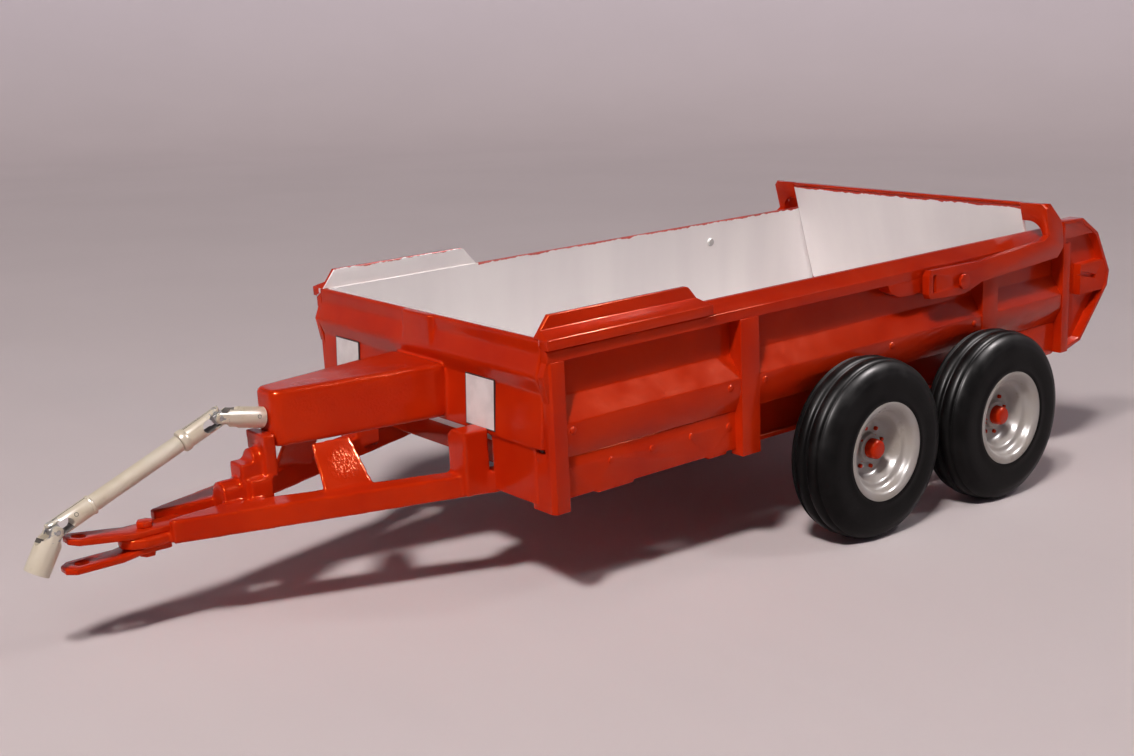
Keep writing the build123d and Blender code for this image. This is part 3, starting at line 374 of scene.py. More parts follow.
def material(name):
    """Materials are made once, on first use, from the paint settings."""
    if not MATERIALS:
        paint = bpy.context.scene.spreader_paint
        joints = [JOINTS[n]["pos_m"] for n in ("rear_joint_lift", "front_joint_lift")]
        MATERIALS.update(
            enamel=make_enamel(paint),
            tub=make_white("tub_white", paint, TUB_LINE, RIM_WHITE_FROM),
            board=make_white("board_white", paint, BOARD_LINE),
            gate=make_white("gate_white", paint, GATE_LINE),
            driveline=make_cream("driveline_cream", tuple(paint.warm_cream), paint, joints),
            rubber=make_rubber(paint),
            sticker=make_plain("plate_white", (0.76, 0.74, 0.73), 0.42, grain=500.0),
            ink=make_plain("plate_black", (0.016, 0.014, 0.014), 0.4),
            cross=make_plain("cross_grey", (0.34, 0.33, 0.32), 0.42, metallic=0.25),
            steel=make_plain("axle_steel", (0.45, 0.44, 0.43), 0.36, metallic=0.9),
            # painted shade: near-black for the set screws, standing for the dark of a hole
            hole=make_plain("painted_hole_shade", (0.012, 0.010, 0.010), 0.7),
            # painted shade: the dark colour given to the faces inside the driveline's slotted ends
            slot=make_plain("slot_painted_shade", (0.10, 0.09, 0.08), 0.5, metallic=0.3),
        )
        for wheel in ("front_left", "front_right", "rear_left", "rear_right"):
            hub = JOINTS[f"{wheel}_wheel_turn"]["pos_m"]
            MATERIALS[f"rim_{wheel}"] = make_cream(f"rim_cream_{wheel}", tuple(paint.cream), paint,
                                                   hubs=[hub])
    return MATERIALS[name]


# ---------------------------------------- modelling helpers
# points nearer than this are one, in metres: of a profile, and of a mesh
SAME_PROFILE_POINT = 0.000002
SAME_POINT = 0.000004
# neighbouring faces that turn less than this are one flat face
FLAT = math.radians(0.6)
# a face looks a way when its normal has this much of it
SQUARE_ON = 0.9
# edges that turn more are rounded, and edges that turn less than so many degrees shaded smooth
SHARP_EDGE = math.radians(28.0)
SMOOTH_DEGREES = 40


def only(*objects):
    """Selects these objects and nothing else."""
    bpy.ops.object.select_all(action="DESELECT")
    for thing in objects:
        thing.select_set(True)
    bpy.context.view_layer.objects.active = objects[0]


def smooth(thing, degrees):
    """Shades it smooth over edges that turn less than this."""
    only(thing)
    bpy.ops.object.shade_smooth_by_angle(angle=math.radians(degrees))
    return thing


def apply_modifiers(thing):
    only(thing)
    for modifier in list(thing.modifiers):
        bpy.ops.object.modifier_apply(modifier=modifier.name)


def added(name):
    """The primitive just added, named, with its place and turn in its mesh."""
    thing = bpy.context.object
    thing.name = name
    bpy.ops.object.transform_apply(location=True, rotation=True, scale=True)
    return thing


def edit_all():
    """Into edit mode, with all of the mesh selected."""
    bpy.ops.object.mode_set(mode="EDIT")
    bpy.ops.mesh.select_all(action="SELECT")


def edit_some(elements, kind, test):
    """Into edit mode, with only the edges or faces selected that pass the test."""
    bpy.ops.object.mode_set(mode="EDIT")
    bpy.ops.mesh.select_mode(type=kind)
    bpy.ops.mesh.select_all(action="DESELECT")
    bpy.ops.object.mode_set(mode="OBJECT")
    for element in elements:
        element.select = test(element)
    bpy.ops.object.mode_set(mode="EDIT")


def inset_facing(thing, direction, thickness):
    """Insets the faces that look this way, and leaves their middles selected in edit mode."""
    edit_some(thing.data.polygons, "FACE", lambda face: face.normal.dot(direction) > SQUARE_ON)
    bpy.ops.mesh.inset(thickness=thickness, use_even_offset=True)


def leave_edit():
    """Back to object mode, with points as what edit mode selects next."""
    bpy.ops.mesh.select_mode(type="VERT")
    bpy.ops.object.mode_set(mode="OBJECT")


def dress(thing, body, slot, *materials):
    """Gives the piece its materials and the body that it rides on; the slot is not used."""
    thing.data.materials.clear()
    for made in materials:
        thing.data.materials.append(made)
    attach(thing, body)
    return thing


def linked(name, data):
    """A new object in the scene."""
    thing = bpy.data.objects.new(name, data)
    bpy.context.scene.collection.objects.link(thing)
    return thing


def cleaned(node):
    """A copy of a CAD node with its loose triangles joined up into flat faces."""
    thing = linked(f"{node}_soft", frame["nodes"][node].data.copy())
    join_up(thing)
    return thing


def join_up(thing):
    """Merges doubled points and joins neighbouring faces that lie flat."""
    only(thing)
    edit_all()
    bpy.ops.mesh.remove_doubles(threshold=SAME_POINT)
    bpy.ops.mesh.dissolve_limited(angle_limit=FLAT)
    bpy.ops.object.mode_set(mode="OBJECT")


def welded(node, *others):
    """Copies of touching CAD nodes made one closed shell."""
    thing = cleaned(node)
    for other in others:
        part = cleaned(other)
        join = thing.modifiers.new("weld", "BOOLEAN")
        join.operation = "UNION"
        join.solver = "EXACT"
        join.object = part
        apply_modifiers(thing)
        bpy.data.objects.remove(part)
        join_up(thing)
    return thing


def softened(nodes, edge=None):
    """A copy of a CAD node, or of several as one, with its edges rounded, in millimetres."""
    sizes = bpy.context.scene.spreader_sizes
    thing = welded(*nodes.split())
    bevel = thing.modifiers.new("edges", "BEVEL")
    bevel.width = sizes.edge if edge is None else edge * MM
    bevel.segments = sizes.steps
    bevel.limit_method = "ANGLE"
    bevel.angle_limit = SHARP_EDGE
    bevel.use_clamp_overlap = True
    bevel.miter_outer = "MITER_ARC"
    apply_modifiers(thing)
    return smooth(thing, SMOOTH_DEGREES)


def body_of(node):
    return frame["nodes"][node]["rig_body"]


def metres(profile):
    return [(along * MM, radius * MM) for along, radius in profile]


def spun(name, profile, centre, axis, steps, closed=True):
    """Turns a profile of (along the axis, radius) round an axis through centre, in metres."""
    out = Vector((1, 0, 0)) if axis.z > SQUARE_ON else Vector((0, 0, 1))
    out = (out - axis * out.dot(axis)).normalized()
    points = [centre + axis * along + out * radius for along, radius in profile]
    bpy.ops.mesh.primitive_plane_add(size=0.001, location=points[0])
    thing = added(name)
    bpy.ops.object.mode_set(mode="EDIT")
    bpy.ops.mesh.merge(type="CENTER")
    for before, after in zip(points, points[1:] + ([points[0]] if closed else [])):
        bpy.ops.mesh.extrude_region_move(TRANSFORM_OT_translate={"value": after - before})
    bpy.ops.mesh.select_all(action="SELECT")
    bpy.ops.mesh.remove_doubles(threshold=SAME_PROFILE_POINT)
    bpy.ops.mesh.spin(steps=steps, angle=2 * math.pi, center=centre, axis=axis)
    bpy.ops.mesh.select_all(action="SELECT")
    bpy.ops.mesh.remove_doubles(threshold=SAME_POINT)
    bpy.ops.mesh.normals_make_consistent(inside=False)
    bpy.ops.object.mode_set(mode="OBJECT")
    return thing


def paint_faces(thing, index, test):
    """Gives material `index` to the faces whose centre and normal pass the test."""
    for face in thing.data.polygons:
        if test(face.center, face.normal):
            face.material_index = index


# ---------------------------------------- steelwork
# welded groups, each one shell under the enamel: name, grain of its skin in millimetres, and its
# members with their edge radius in millimetres
WELDMENTS = (
    ("front_weldment", 0.42, (
        ("front_wall", 0.45),
        ("driveline_housing", 1.3),
        ("lower_front_panels", 0.5),
    )),
    ("drawbar_weldment", 0.42, (
        ("drawbar_beams drawbar_nose", 0.3),
        ("housing_stand", 0.5),
        ("housing_struts", 0.3),
        ("beam_brackets", 0.7),
    )),
)
# how often, and how far each time, that skin is smoothed
ENAMEL_FLOW = 6
ENAMEL_FLOW_STEP = 0.5
# lower bend of the front wall: from and to this height, ahead of this x, and how far it moves up
WALL_BEND = (56.2, 59.0, 103.4, 1.8)
# inner and outer edges of the lower front panels: where they begin, and how far they move out
PANEL_INNER = (34.5, 3.6)
PANEL_OUTER = (44.5, 2.6)

# node, edge radius in millimetres (None: the edge radius of the settings)
STEELWORK = (
    ("upper_strap", None),
    ("lower_strap", None),
    ("hitch_bolt", 0.25),
    ("frame_rails", 0.3),
    ("cross_members", 0.4),
    ("tandem_beams", 0.6),
    ("tandem_pivot", 0.3),
    ("gate_pivots", 0.6),
    ("gate_bars", 0.9),
    ("gate_arm_left", 1.1),
    ("gate_arm_right", 1.1),
    ("side_panel_left", 0.35),
    ("side_panel_right", 0.35),
    ("skirt_left", 0.4),
    ("skirt_right", 0.4),
    ("rail_left", 1.0),
    ("rail_right", 1.0),
    ("posts_left", 0.9),
    ("posts_right", 0.9),
    ("rear_plate_left", 0.8),
    ("rear_plate_right", 0.8),
    ("beater", 0.3),
)
# steelwork whose inner faces have another finish: the finish, and how far from the middle it
# reaches, in millimetres
INNER_FINISHES = {
    "gate_pivots": ("steel", 48.7),
    "rail_left": ("tub", 50.2),
    "rail_right": ("tub", 50.2),
}


def shift_points(thing, move, test):
    """Moves the points whose place in the body, in millimetres, passes the test."""
    foot = placed(0, 0, 0)
    for group in (thing.data.edges, thing.data.polygons):
        for element in group:
            element.select = False
    for point in thing.data.vertices:
        there = (point.co - foot) / MM
        point.select = test(there.dot(DECK_AHEAD), there.y, there.dot(DECK_UP))
    only(thing)
    bpy.ops.object.mode_set(mode="EDIT")
    bpy.ops.transform.translate(value=move * MM)
    bpy.ops.object.mode_set(mode="OBJECT")


class SPREADER_OT_steelwork(bpy.types.Operator):
    """Rounds the edges of the painted steelwork and enamels it"""

    bl_idname = "spreader.steelwork"
    bl_label = "Steelwork"

    def raise_bend(self, wall):
        """Moves the lower bend of the front wall up, so that the flat below it is taller."""
        low, high, ahead, lift = WALL_BEND
        shift_points(wall, DECK_UP * lift, lambda x, y, z: low < z < high and x > ahead)

    def widen_panels(self, panels):
        """Carries the lower front panels on to the brackets and the corner posts."""
        inner, inner_move = PANEL_INNER
        outer, outer_move = PANEL_OUTER
        for side in (1, -1):
            shift_points(panels, Vector((0, -side * inner_move, 0)),
                         lambda x, y, z: 0 < y * side < inner)
            shift_points(panels, Vector((0, side * outer_move, 0)),
                         lambda x, y, z: y * side > outer)

    def weldment(self, name, grain, members):
        """Joins the members under one skin of enamel that fills the corners between them."""
        shells = []
        for nodes, edge in members:
            shell = softened(nodes, edge)
            if nodes == "front_wall":
                self.raise_bend(shell)
            if nodes == "lower_front_panels":
                self.widen_panels(shell)
            shells.append(shell)
        only(*shells)
        bpy.ops.object.join()
        thing = shells[0]
        thing.name = name
        skin = thing.modifiers.new("skin", "REMESH")
        skin.mode = "VOXEL"
        skin.voxel_size = grain * MM
        flow = thing.modifiers.new("flow", "SMOOTH")
        flow.factor = ENAMEL_FLOW_STEP
        flow.iterations = ENAMEL_FLOW
        apply_modifiers(thing)
        smooth(thing, 60)
        covered = " ".join(nodes for nodes, _ in members).split()
        dress(thing, body_of(covered[0]), "enamel_orange", material("enamel"))
        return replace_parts(thing, *covered)

    def execute(self, context):
        for name, grain, members in WELDMENTS:
            self.weldment(name, grain, members)
        for node, edge in STEELWORK:
            thing = softened(node, edge)
            dress(thing, body_of(node), "enamel_orange", material("enamel"))
            if node in INNER_FINISHES:
                finish, reach = INNER_FINISHES[node]
                thing.data.materials.append(material(finish))
                paint_faces(thing, 1, lambda c, n: abs(c.y) < reach * MM)
            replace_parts(thing, node)
        return {"FINISHED"}


# ---------------------------------------- tub, boards and gate
# how far out the white of the tub reaches: beyond it only the upward faces of its rim are white
TUB_INNER_Y = 48.9


class SPREADER_OT_tub(bpy.types.Operator):
    """Paints the inside of the box white, up to the orange rim"""

    bl_idname = "spreader.tub"
    bl_label = "Tub and boards"

    def execute(self, context):
        inner_y = TUB_INNER_Y * MM
        tub = softened("tub", 0.15)
        dress(tub, "spreader", "tub_white", material("tub"), material("enamel"))
        paint_faces(tub, 1, lambda c, n: n.z < -0.5 or abs(c.y) > inner_y and n.z < SQUARE_ON)
        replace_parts(tub, "tub")
        slats = softened("floor_slats", 0.2)
        dress(slats, "spreader", "tub_white", material("tub"))
        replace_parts(slats, "floor_slats")
        for side, name in ((1, "left"), (-1, "right")):
            node = f"extension_board_{name}"
            board = softened(node, 0.8)
            dress(board, "spreader", "enamel_orange", material("enamel"), material("board"))
            paint_faces(board, 1, lambda c, n: n.y * side < -0.2)
            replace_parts(board, node)
        sheet = softened("gate_sheet", 0.3)
        dress(sheet, "end_gate", "tub_white", material("gate"), material("enamel"))
        paint_faces(sheet, 1, lambda c, n: n.x < -0.3)
        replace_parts(sheet, "gate_sheet")
        return {"FINISHED"}


# ---------------------------------------- wheels
# where the middle of the tyre lies, and half its profile from the bead to the crown: distance from
# its middle, radius
TYRE_MIDDLE_Y = 62.3
TYRE_HALF = (
    (7.0, 12.7), (7.18, 14.2), (7.32, 14.5), (7.36, 15.3), (7.24, 15.7), (7.32, 17.2),
    (7.40, 19.0), (7.38, 20.6), (7.22, 21.6), (7.00, 22.05), (6.86, 22.4), (6.62, 23.0),
    (6.20, 23.75), (5.70, 24.35), (5.20, 24.78), (4.82, 25.00), (4.58, 25.04),
    (4.42, 24.84), (4.28, 24.50), (4.08, 24.34), (3.86, 24.42), (3.70, 24.80),
    (3.52, 25.14), (3.16, 25.38), (2.66, 25.56), (2.10, 25.64), (1.50, 25.60),
    (1.00, 25.46), (0.70, 25.26), (0.52, 24.96), (0.36, 24.66), (0.18, 24.52),
    (0.0, 24.48),
)

# rim, from the inner edge over the dish to the outer lip and back: distance out, radius
RIM_PROFILE = (
    (56.5, 11.5), (60.9, 11.3), (60.9, 3.7), (56.6, 3.7), (56.6, 1.75), (62.2, 1.75),
    (62.2, 2.5), (63.9, 2.6), (63.95, 3.75), (63.7, 4.05), (62.75, 4.2), (62.45, 4.45),
    (62.35, 4.9), (62.35, 7.2), (62.5, 7.75), (62.95, 8.2), (64.2, 8.7), (66.0, 9.35),
    (66.35, 9.6), (66.5, 9.95), (66.6, 10.5), (66.9, 11.0), (67.4, 11.3), (68.3, 11.55),
    (68.9, 11.8), (69.25, 12.15), (69.5, 12.6), (69.68, 13.1), (69.72, 13.6),
    (69.55, 13.98), (69.3, 13.95), (69.2, 13.2), (69.1, 12.7), (56.5, 12.7),
)

# hub cap: distance out, radius
CAP_PROFILE = (
    (63.2, 0.0), (63.2, 2.85), (65.9, 2.8), (66.35, 2.68), (66.68, 2.4), (66.85, 2.0),
    (66.92, 1.2), (66.95, 0.0),
)
CAP_STEPS = 40
# nuts: how many, where the first one stands, and in millimetres their seat, their height, how far
# they are sunk and their chamfer
NUT_COUNT = 8
FIRST_NUT = math.radians(13)
NUT_SEAT_Y = 62.3
NUT_HEIGHT = 1.0
NUT_SUNK = 0.1
NUT_CHAMFER = 0.22


def wheel_copy(thing, name, shift, side):
    """A copy of a left wheel's piece, moved along x and mirrored for the right."""
    copy = linked(name, thing.data.copy())
    copy.data.transform(Matrix.Translation((shift, 0, 0)) @ Matrix.Diagonal((1, side, 1, 1)))
    if side < 0:
        copy.data.flip_normals()
    return copy


class SPREADER_OT_wheels(bpy.types.Operator):
    """Models the ribbed tyres, dished rims, hub caps and wheel nuts"""

    bl_idname = "spreader.wheels"
    bl_label = "Wheels"

    def execute(self, context):
        sizes = context.scene.spreader_sizes
        steps = sizes.spin_steps
        hub = Vector((FRONT_AXLE_X, 0, WHEEL_RADIUS)) * MM
        across = Vector((0, 1, 0))
        outer = [(TYRE_MIDDLE_Y + u, r) for u, r in TYRE_HALF]
        inner = [(TYRE_MIDDLE_Y - u, r) for u, r in reversed(TYRE_HALF[:-1])]
        tyre = smooth(spun("tyre_model", metres(outer + inner), hub, across, steps), 50)
        rim = smooth(spun("rim_model", metres(RIM_PROFILE), hub, across, steps), 32)
        cap = spun("cap_model", metres(CAP_PROFILE), hub, across, CAP_STEPS, closed=False)
        smooth(cap, SMOOTH_DEGREES)
        nuts = self.nuts(hub, sizes)
        axles = {"front": 0.0, "rear": (REAR_AXLE_X - FRONT_AXLE_X) * MM}
        for end, shift in axles.items():
            for name, side in (("left", 1), ("right", -1)):
                wheel = f"{end}_{name}"
                parts = (
                    (tyre, f"tyre_{wheel}_ribbed", "tyre_black", "rubber"),
                    (rim, f"rim_{wheel}_dished", "rim_cream", f"rim_{wheel}"),
                    (cap, f"hub_cap_{wheel}", "enamel_orange", "enamel"),
                    (nuts, f"wheel_nuts_{wheel}", "enamel_orange", "enamel"),
                )
                made = []
                for source, label, slot, finish in parts:
                    copy = wheel_copy(source, label, shift, side)
                    made.append(dress(copy, f"wheel_{wheel}", slot, material(finish)))
                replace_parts(made[0], f"tyre_{wheel}")
                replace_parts(made[1], f"rim_{wheel}")
        for source in (tyre, rim, cap, nuts):
            bpy.data.objects.remove(source)
        return {"FINISHED"}

    def nuts(self, hub, sizes):
        """The nuts round the hub: one is modelled, the others are turned copies."""
        middle_y = (NUT_SEAT_Y + NUT_HEIGHT / 2 - NUT_SUNK) * MM
        start = hub + Vector((math.sin(FIRST_NUT) * sizes.nut_circle, middle_y,
                              math.cos(FIRST_NUT) * sizes.nut_circle))
        bpy.ops.mesh.primitive_cylinder_add(vertices=6, radius=sizes.nut, depth=NUT_HEIGHT * MM,
                                            location=start, rotation=(math.pi / 2, 0, 0))
        thing = added("nuts_model")
        edit_all()
        bpy.ops.mesh.bevel(offset=NUT_CHAMFER * MM, segments=2, affect="EDGES")
        bpy.ops.mesh.select_all(action="SELECT")
        for _ in range(NUT_COUNT - 1):
            bpy.ops.mesh.duplicate()
            bpy.ops.transform.rotate(value=2 * math.pi / NUT_COUNT, orient_axis="Y",
                                     center_override=hub)
        bpy.ops.object.mode_set(mode="OBJECT")
        return smooth(thing, 45)


# ---------------------------------------- driveline
# node, material, slot, edge radius in millimetres
DRIVELINE = (
    ("pto_rear_yoke", "driveline", "rim_cream", 0.22),
    ("pto_rear_cross", "cross", "cross_grey", 0.15),
    ("pto_sleeve", "driveline", "rim_cream", 0.25),
    ("pto_tube", "driveline", "rim_cream", 0.25),
    ("pto_front_cross", "cross", "cross_grey", 0.15),
    ("pto_end_yoke", "driveline", "rim_cream", 0.25),
)

# the two universal joints, and the lines that the shaft, the rear yoke and the end yoke lie on
REAR_JOINT = Vector(JOINTS["rear_joint_lift"]["pos_m"])
FRONT_JOINT = Vector(JOINTS["front_joint_lift"]["pos_m"])
SHAFT_LINE = (REAR_JOINT - FRONT_JOINT).normalized()
SPIN_LINE = Vector(JOINTS["driveline_spin"]["axis"]).normalized()
SPIN_LINE *= math.copysign(1.0, SPIN_LINE.x)
END_DROP = math.radians(60)
END_LINE = LEAN @ Vector((math.cos(END_DROP), 0, -math.sin(END_DROP)))
# what counts as the inside of a slot: how near its joint, and how far off its line at least and at
# most, in metres, how far ahead of the joint, and how squarely it looks inwards
SLOT_REACH = 7.0 * MM
SLOT_CORE, SLOT_WIDTH = 0.1 * MM, 2.0 * MM
SLOT_AHEAD = 0.35
SLOT_INWARD = 0.75

# lips and necks turned on the driveline: name, node under it, point on its axis, way along it,
# and their profile in millimetres: along, radius
RINGS = (
    ("sleeve_lip", "pto_sleeve", REAR_JOINT, -SHAFT_LINE,
     ((8.9, 2.44), (9.15, 2.68), (9.6, 2.78), (10.35, 2.78), (10.75, 2.66), (10.86, 2.3))),
    ("collar_neck", "pto_tube", FRONT_JOINT, SHAFT_LINE,
     ((9.4, 2.05), (9.55, 2.42), (9.9, 2.52), (10.2, 2.46), (10.4, 2.2), (10.45, 2.05))),
)
RING_STEPS = 48
# set screws: name, node under it, point on its axis, way along it, and how far along and how far
# out it sits, in millimetres
SCREWS = (
    ("collar_screw", "pto_tube", FRONT_JOINT, SHAFT_LINE, 5.6, 2.35),
    ("yoke_screw", "pto_rear_yoke", REAR_JOINT, -SPIN_LINE, 10.0, 2.65),
)
SCREW_FACING = Vector((0.35, 0.90, 0.28))
SCREW_RADIUS, SCREW_HEIGHT, SCREW_SUNK = 0.5, 0.7, 0.25
SOCKET_WALL, SOCKET_DEPTH = 0.12, 0.3


class SPREADER_OT_driveline(bpy.types.Operator):
    """Softens and paints the jointed driveline, with painted shade inside its slots, and adds lips
    and set screws, the screws painted near-black as the shade of holes
    """

    bl_idname = "spreader.driveline"
    bl_label = "Driveline"

    def slots(self, thing):
        """Paints shade on the faces inside a slotted end, which look towards its axis or its
        joint.
        """
        for joint in (REAR_JOINT, FRONT_JOINT):
            for line in (SHAFT_LINE, SPIN_LINE, END_LINE):
                paint_faces(thing, 1, lambda c, n: self.inward(c, n, joint, line))

    def inward(self, centre, normal, joint, line):
        """Whether a face lies inside the slot that this joint and this line make."""
        away = centre - joint
        if away.length > SLOT_REACH or abs(away.normalized().dot(line)) < SLOT_AHEAD:
            return False
        across = away - line * away.dot(line)
        if not SLOT_CORE <= across.length < SLOT_WIDTH:
            return False
        return normal.dot(-across.normalized()) > SLOT_INWARD

    def screw(self, name, node, joint, line, along, radius):
        """A set screw with its socket, let into a shaft and facing outwards, painted near-black as
        the shade of a hole.
        """
        facing = (SCREW_FACING - line * SCREW_FACING.dot(line)).normalized()
        bpy.ops.mesh.primitive_cylinder_add(
            vertices=24, radius=SCREW_RADIUS * MM, depth=SCREW_HEIGHT * MM,
            location=joint + line * along * MM + facing * (radius - SCREW_SUNK) * MM,
            rotation=facing.to_track_quat("Z", "Y").to_euler())
        thing = added(name)
        inset_facing(thing, facing, SOCKET_WALL * MM)
        bpy.ops.mesh.extrude_region_move(
            TRANSFORM_OT_translate={"value": facing * -SOCKET_DEPTH * MM})
        leave_edit()
        smooth(thing, SMOOTH_DEGREES)
        # painted shade: the whole screw is near-black, as the dark of a hole
        dress(thing, body_of(node), "cross_grey", material("hole"))

    def execute(self, context):
        for node, finish, slot, edge in DRIVELINE:
            thing = softened(node, edge)
            dress(thing, body_of(node), slot, material(finish), material("slot"))
            if slot == "rim_cream":
                # the faces inside the slots get the painted shade
                self.slots(thing)
            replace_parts(thing, node)
        for name, node, joint, line, profile in RINGS:
            ring = spun(name, metres(profile), joint, line, RING_STEPS)
            dress(smooth(ring, 50), body_of(node), "rim_cream", material("driveline"))
        for screw in SCREWS:
            self.screw(*screw)
        return {"FINISHED"}


# ---------------------------------------- plates, rivets, axles
# flat plates on the front wall: their middles in y, and their face from bottom to top: x, z
PLATE_MIDDLES = (26.7, -38.0)
PLATE_WIDTH = 12.5
PLATE_FACE = ((105.50, 47.0), (104.78, 60.3))
PLATE_DEPTH = 0.6
PLATE_BORDER = 0.27


class SPREADER_OT_plates(bpy.types.Operator):
    """Makes the two blank plates on the front wall, each with a thin black edge"""

    bl_idname = "spreader.plates"
    bl_label = "Blank plates"

    def execute(self, context):
        middle = PLATE_MIDDLES[0]
        low, high = (placed(x, middle, z) for x, z in PLATE_FACE)
        rise = high - low
        outward = Vector((rise.z, 0, -rise.x)).normalized()
        bpy.ops.mesh.primitive_cube_add(
            size=1, location=(low + high) / 2 - outward * PLATE_DEPTH / 2 * MM,
            rotation=(0, math.atan2(rise.x, rise.z), 0),
            scale=(PLATE_DEPTH * MM, PLATE_WIDTH * MM, rise.length))
        plate = added("blank_plate_left")
        dress(plate, "spreader", "plate_white", material("sticker"), material("ink"))
        paint_faces(plate, 1, lambda c, n: True)
        inset_facing(plate, outward, PLATE_BORDER * MM)
        plate.active_material_index = 0
        bpy.ops.object.material_slot_assign()
        leave_edit()
        other = linked("blank_plate_right", plate.data.copy())
        other.data.transform(Matrix.Translation((0, (PLATE_MIDDLES[1] - middle) * MM, 0)))
        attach(other, "spreader")
        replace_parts(plate, "blank_plates")
        return {"FINISHED"}


# rivet heads along the band: their x, their height, and how far out the band lies
RIVET_XS = (97.4, 44.5, 31.6, -20.0, -58.0)
RIVET_Z = 49.9
RIVET_Y = 54.3
RIVET_FLATNESS = 0.5


class SPREADER_OT_rivets(bpy.types.Operator):
    """Sets round rivet heads along the sides of the box"""

    bl_idname = "spreader.rivets"
    bl_label = "Rivets"

    def execute(self, context):
        radius = context.scene.spreader_sizes.rivet
        for side, name in ((1, "left"), (-1, "right")):
            here, *others = (placed(x, side * RIVET_Y, RIVET_Z) for x in RIVET_XS)
            bpy.ops.mesh.primitive_uv_sphere_add(segments=20, ring_count=12, radius=radius,
                                                 location=here, scale=(1, RIVET_FLATNESS, 1))
            thing = added(f"band_rivets_{name}")
            edit_all()
            for there in others:
                bpy.ops.mesh.duplicate()
                bpy.ops.transform.translate(value=there - here)
                here = there
            bpy.ops.object.mode_set(mode="OBJECT")
            smooth(thing, 60)
            dress(thing, "spreader", "enamel_orange", material("enamel"))
        return {"FINISHED"}


# short skirts behind the rear wheels: back and front, bottom and top, inside and outside, and the
# rounding of their lower corners and of their edges
REAR_SKIRT = ((-102.8, -83.0), (32.1, 42.6), (50.3, 51.9))
REAR_SKIRT_CORNER = 1.2
REAR_SKIRT_EDGE = 0.35


class SPREADER_OT_rear_skirts(bpy.types.Operator):
    """Hangs a short skirt under each side, between the rear wheel and the rear plate"""

    bl_idname = "spreader.rear_skirts"
    bl_label = "Rear skirts"

    def execute(self, context):
        length, height, thickness = ((high - low) * MM for low, high in REAR_SKIRT)
        x, z, y = ((low + high) / 2 for low, high in REAR_SKIRT)
        for side, name in ((1, "left"), (-1, "right")):
            middle = placed(x, side * y, z)
            bpy.ops.mesh.primitive_cube_add(size=1, location=middle, rotation=(0, RAKE, 0),
                                            scale=(length, thickness, height))
            skirt = added(f"rear_skirt_{name}")

            def lower_corner(edge):
                ends = [skirt.data.vertices[index].co - middle for index in edge.vertices]
                below = all(end.dot(DECK_UP) < 0 for end in ends)
                return below and abs((ends[1] - ends[0]).y) > thickness / 2

            edit_some(skirt.data.edges, "EDGE", lower_corner)
            bpy.ops.mesh.bevel(offset=REAR_SKIRT_CORNER * MM, segments=3)
            leave_edit()
            bevel = skirt.modifiers.new("edges", "BEVEL")
            bevel.width = REAR_SKIRT_EDGE * MM
            bevel.segments = context.scene.spreader_sizes.steps
            apply_modifiers(skirt)
            smooth(skirt, SMOOTH_DEGREES)
            dress(skirt, "spreader", "enamel_orange", material("enamel"))
        return {"FINISHED"}


class SPREADER_OT_axles(bpy.types.Operator):
    """Finishes the stub axles in bare steel"""

    bl_idname = "spreader.axles"
    bl_label = "Stub axles"

    def execute(self, context):
        thing = softened("stub_axles", 0.2)
        dress(thing, "spreader", "axle_steel", material("steel"))
        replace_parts(thing, "stub_axles")
        return {"FINISHED"}


# ---------------------------------------- studio
# camera: its place in body millimetres, and its turn about the leaning body in degrees
CAMERA_PLACE = (315.3, 332.65, 151.85)
CAMERA_YAW, CAMERA_PITCH, CAMERA_ROLL = 232.09, 14.11, -2.72
SENSOR_WIDTH = 36.0
# floor and the cove behind it: steps round the floor, and in metres the radius of the cove, the
# height of its rim and the steps of its bend
FLOOR_STEPS = 96
COVE_RADIUS = 0.8
COVE_HEIGHT = 1.1
COVE_STEPS = 12
# where the lights come from, how wide they look from the middle, and their colours
KEY_FROM = (0.53, 0.33, 0.71)
SIDE_FROM = (-0.45, 0.45, 0.76)
LAMP_SPREAD = math.radians(5.5)
KEY_COLOUR = (1.0, 0.91, 0.88)
SIDE_COLOUR = (1.0, 0.92, 0.92)
GLEAM_COLOUR = (1.0, 0.93, 0.93)
AIR_COLOUR = (0.98, 0.90, 0.96, 1)


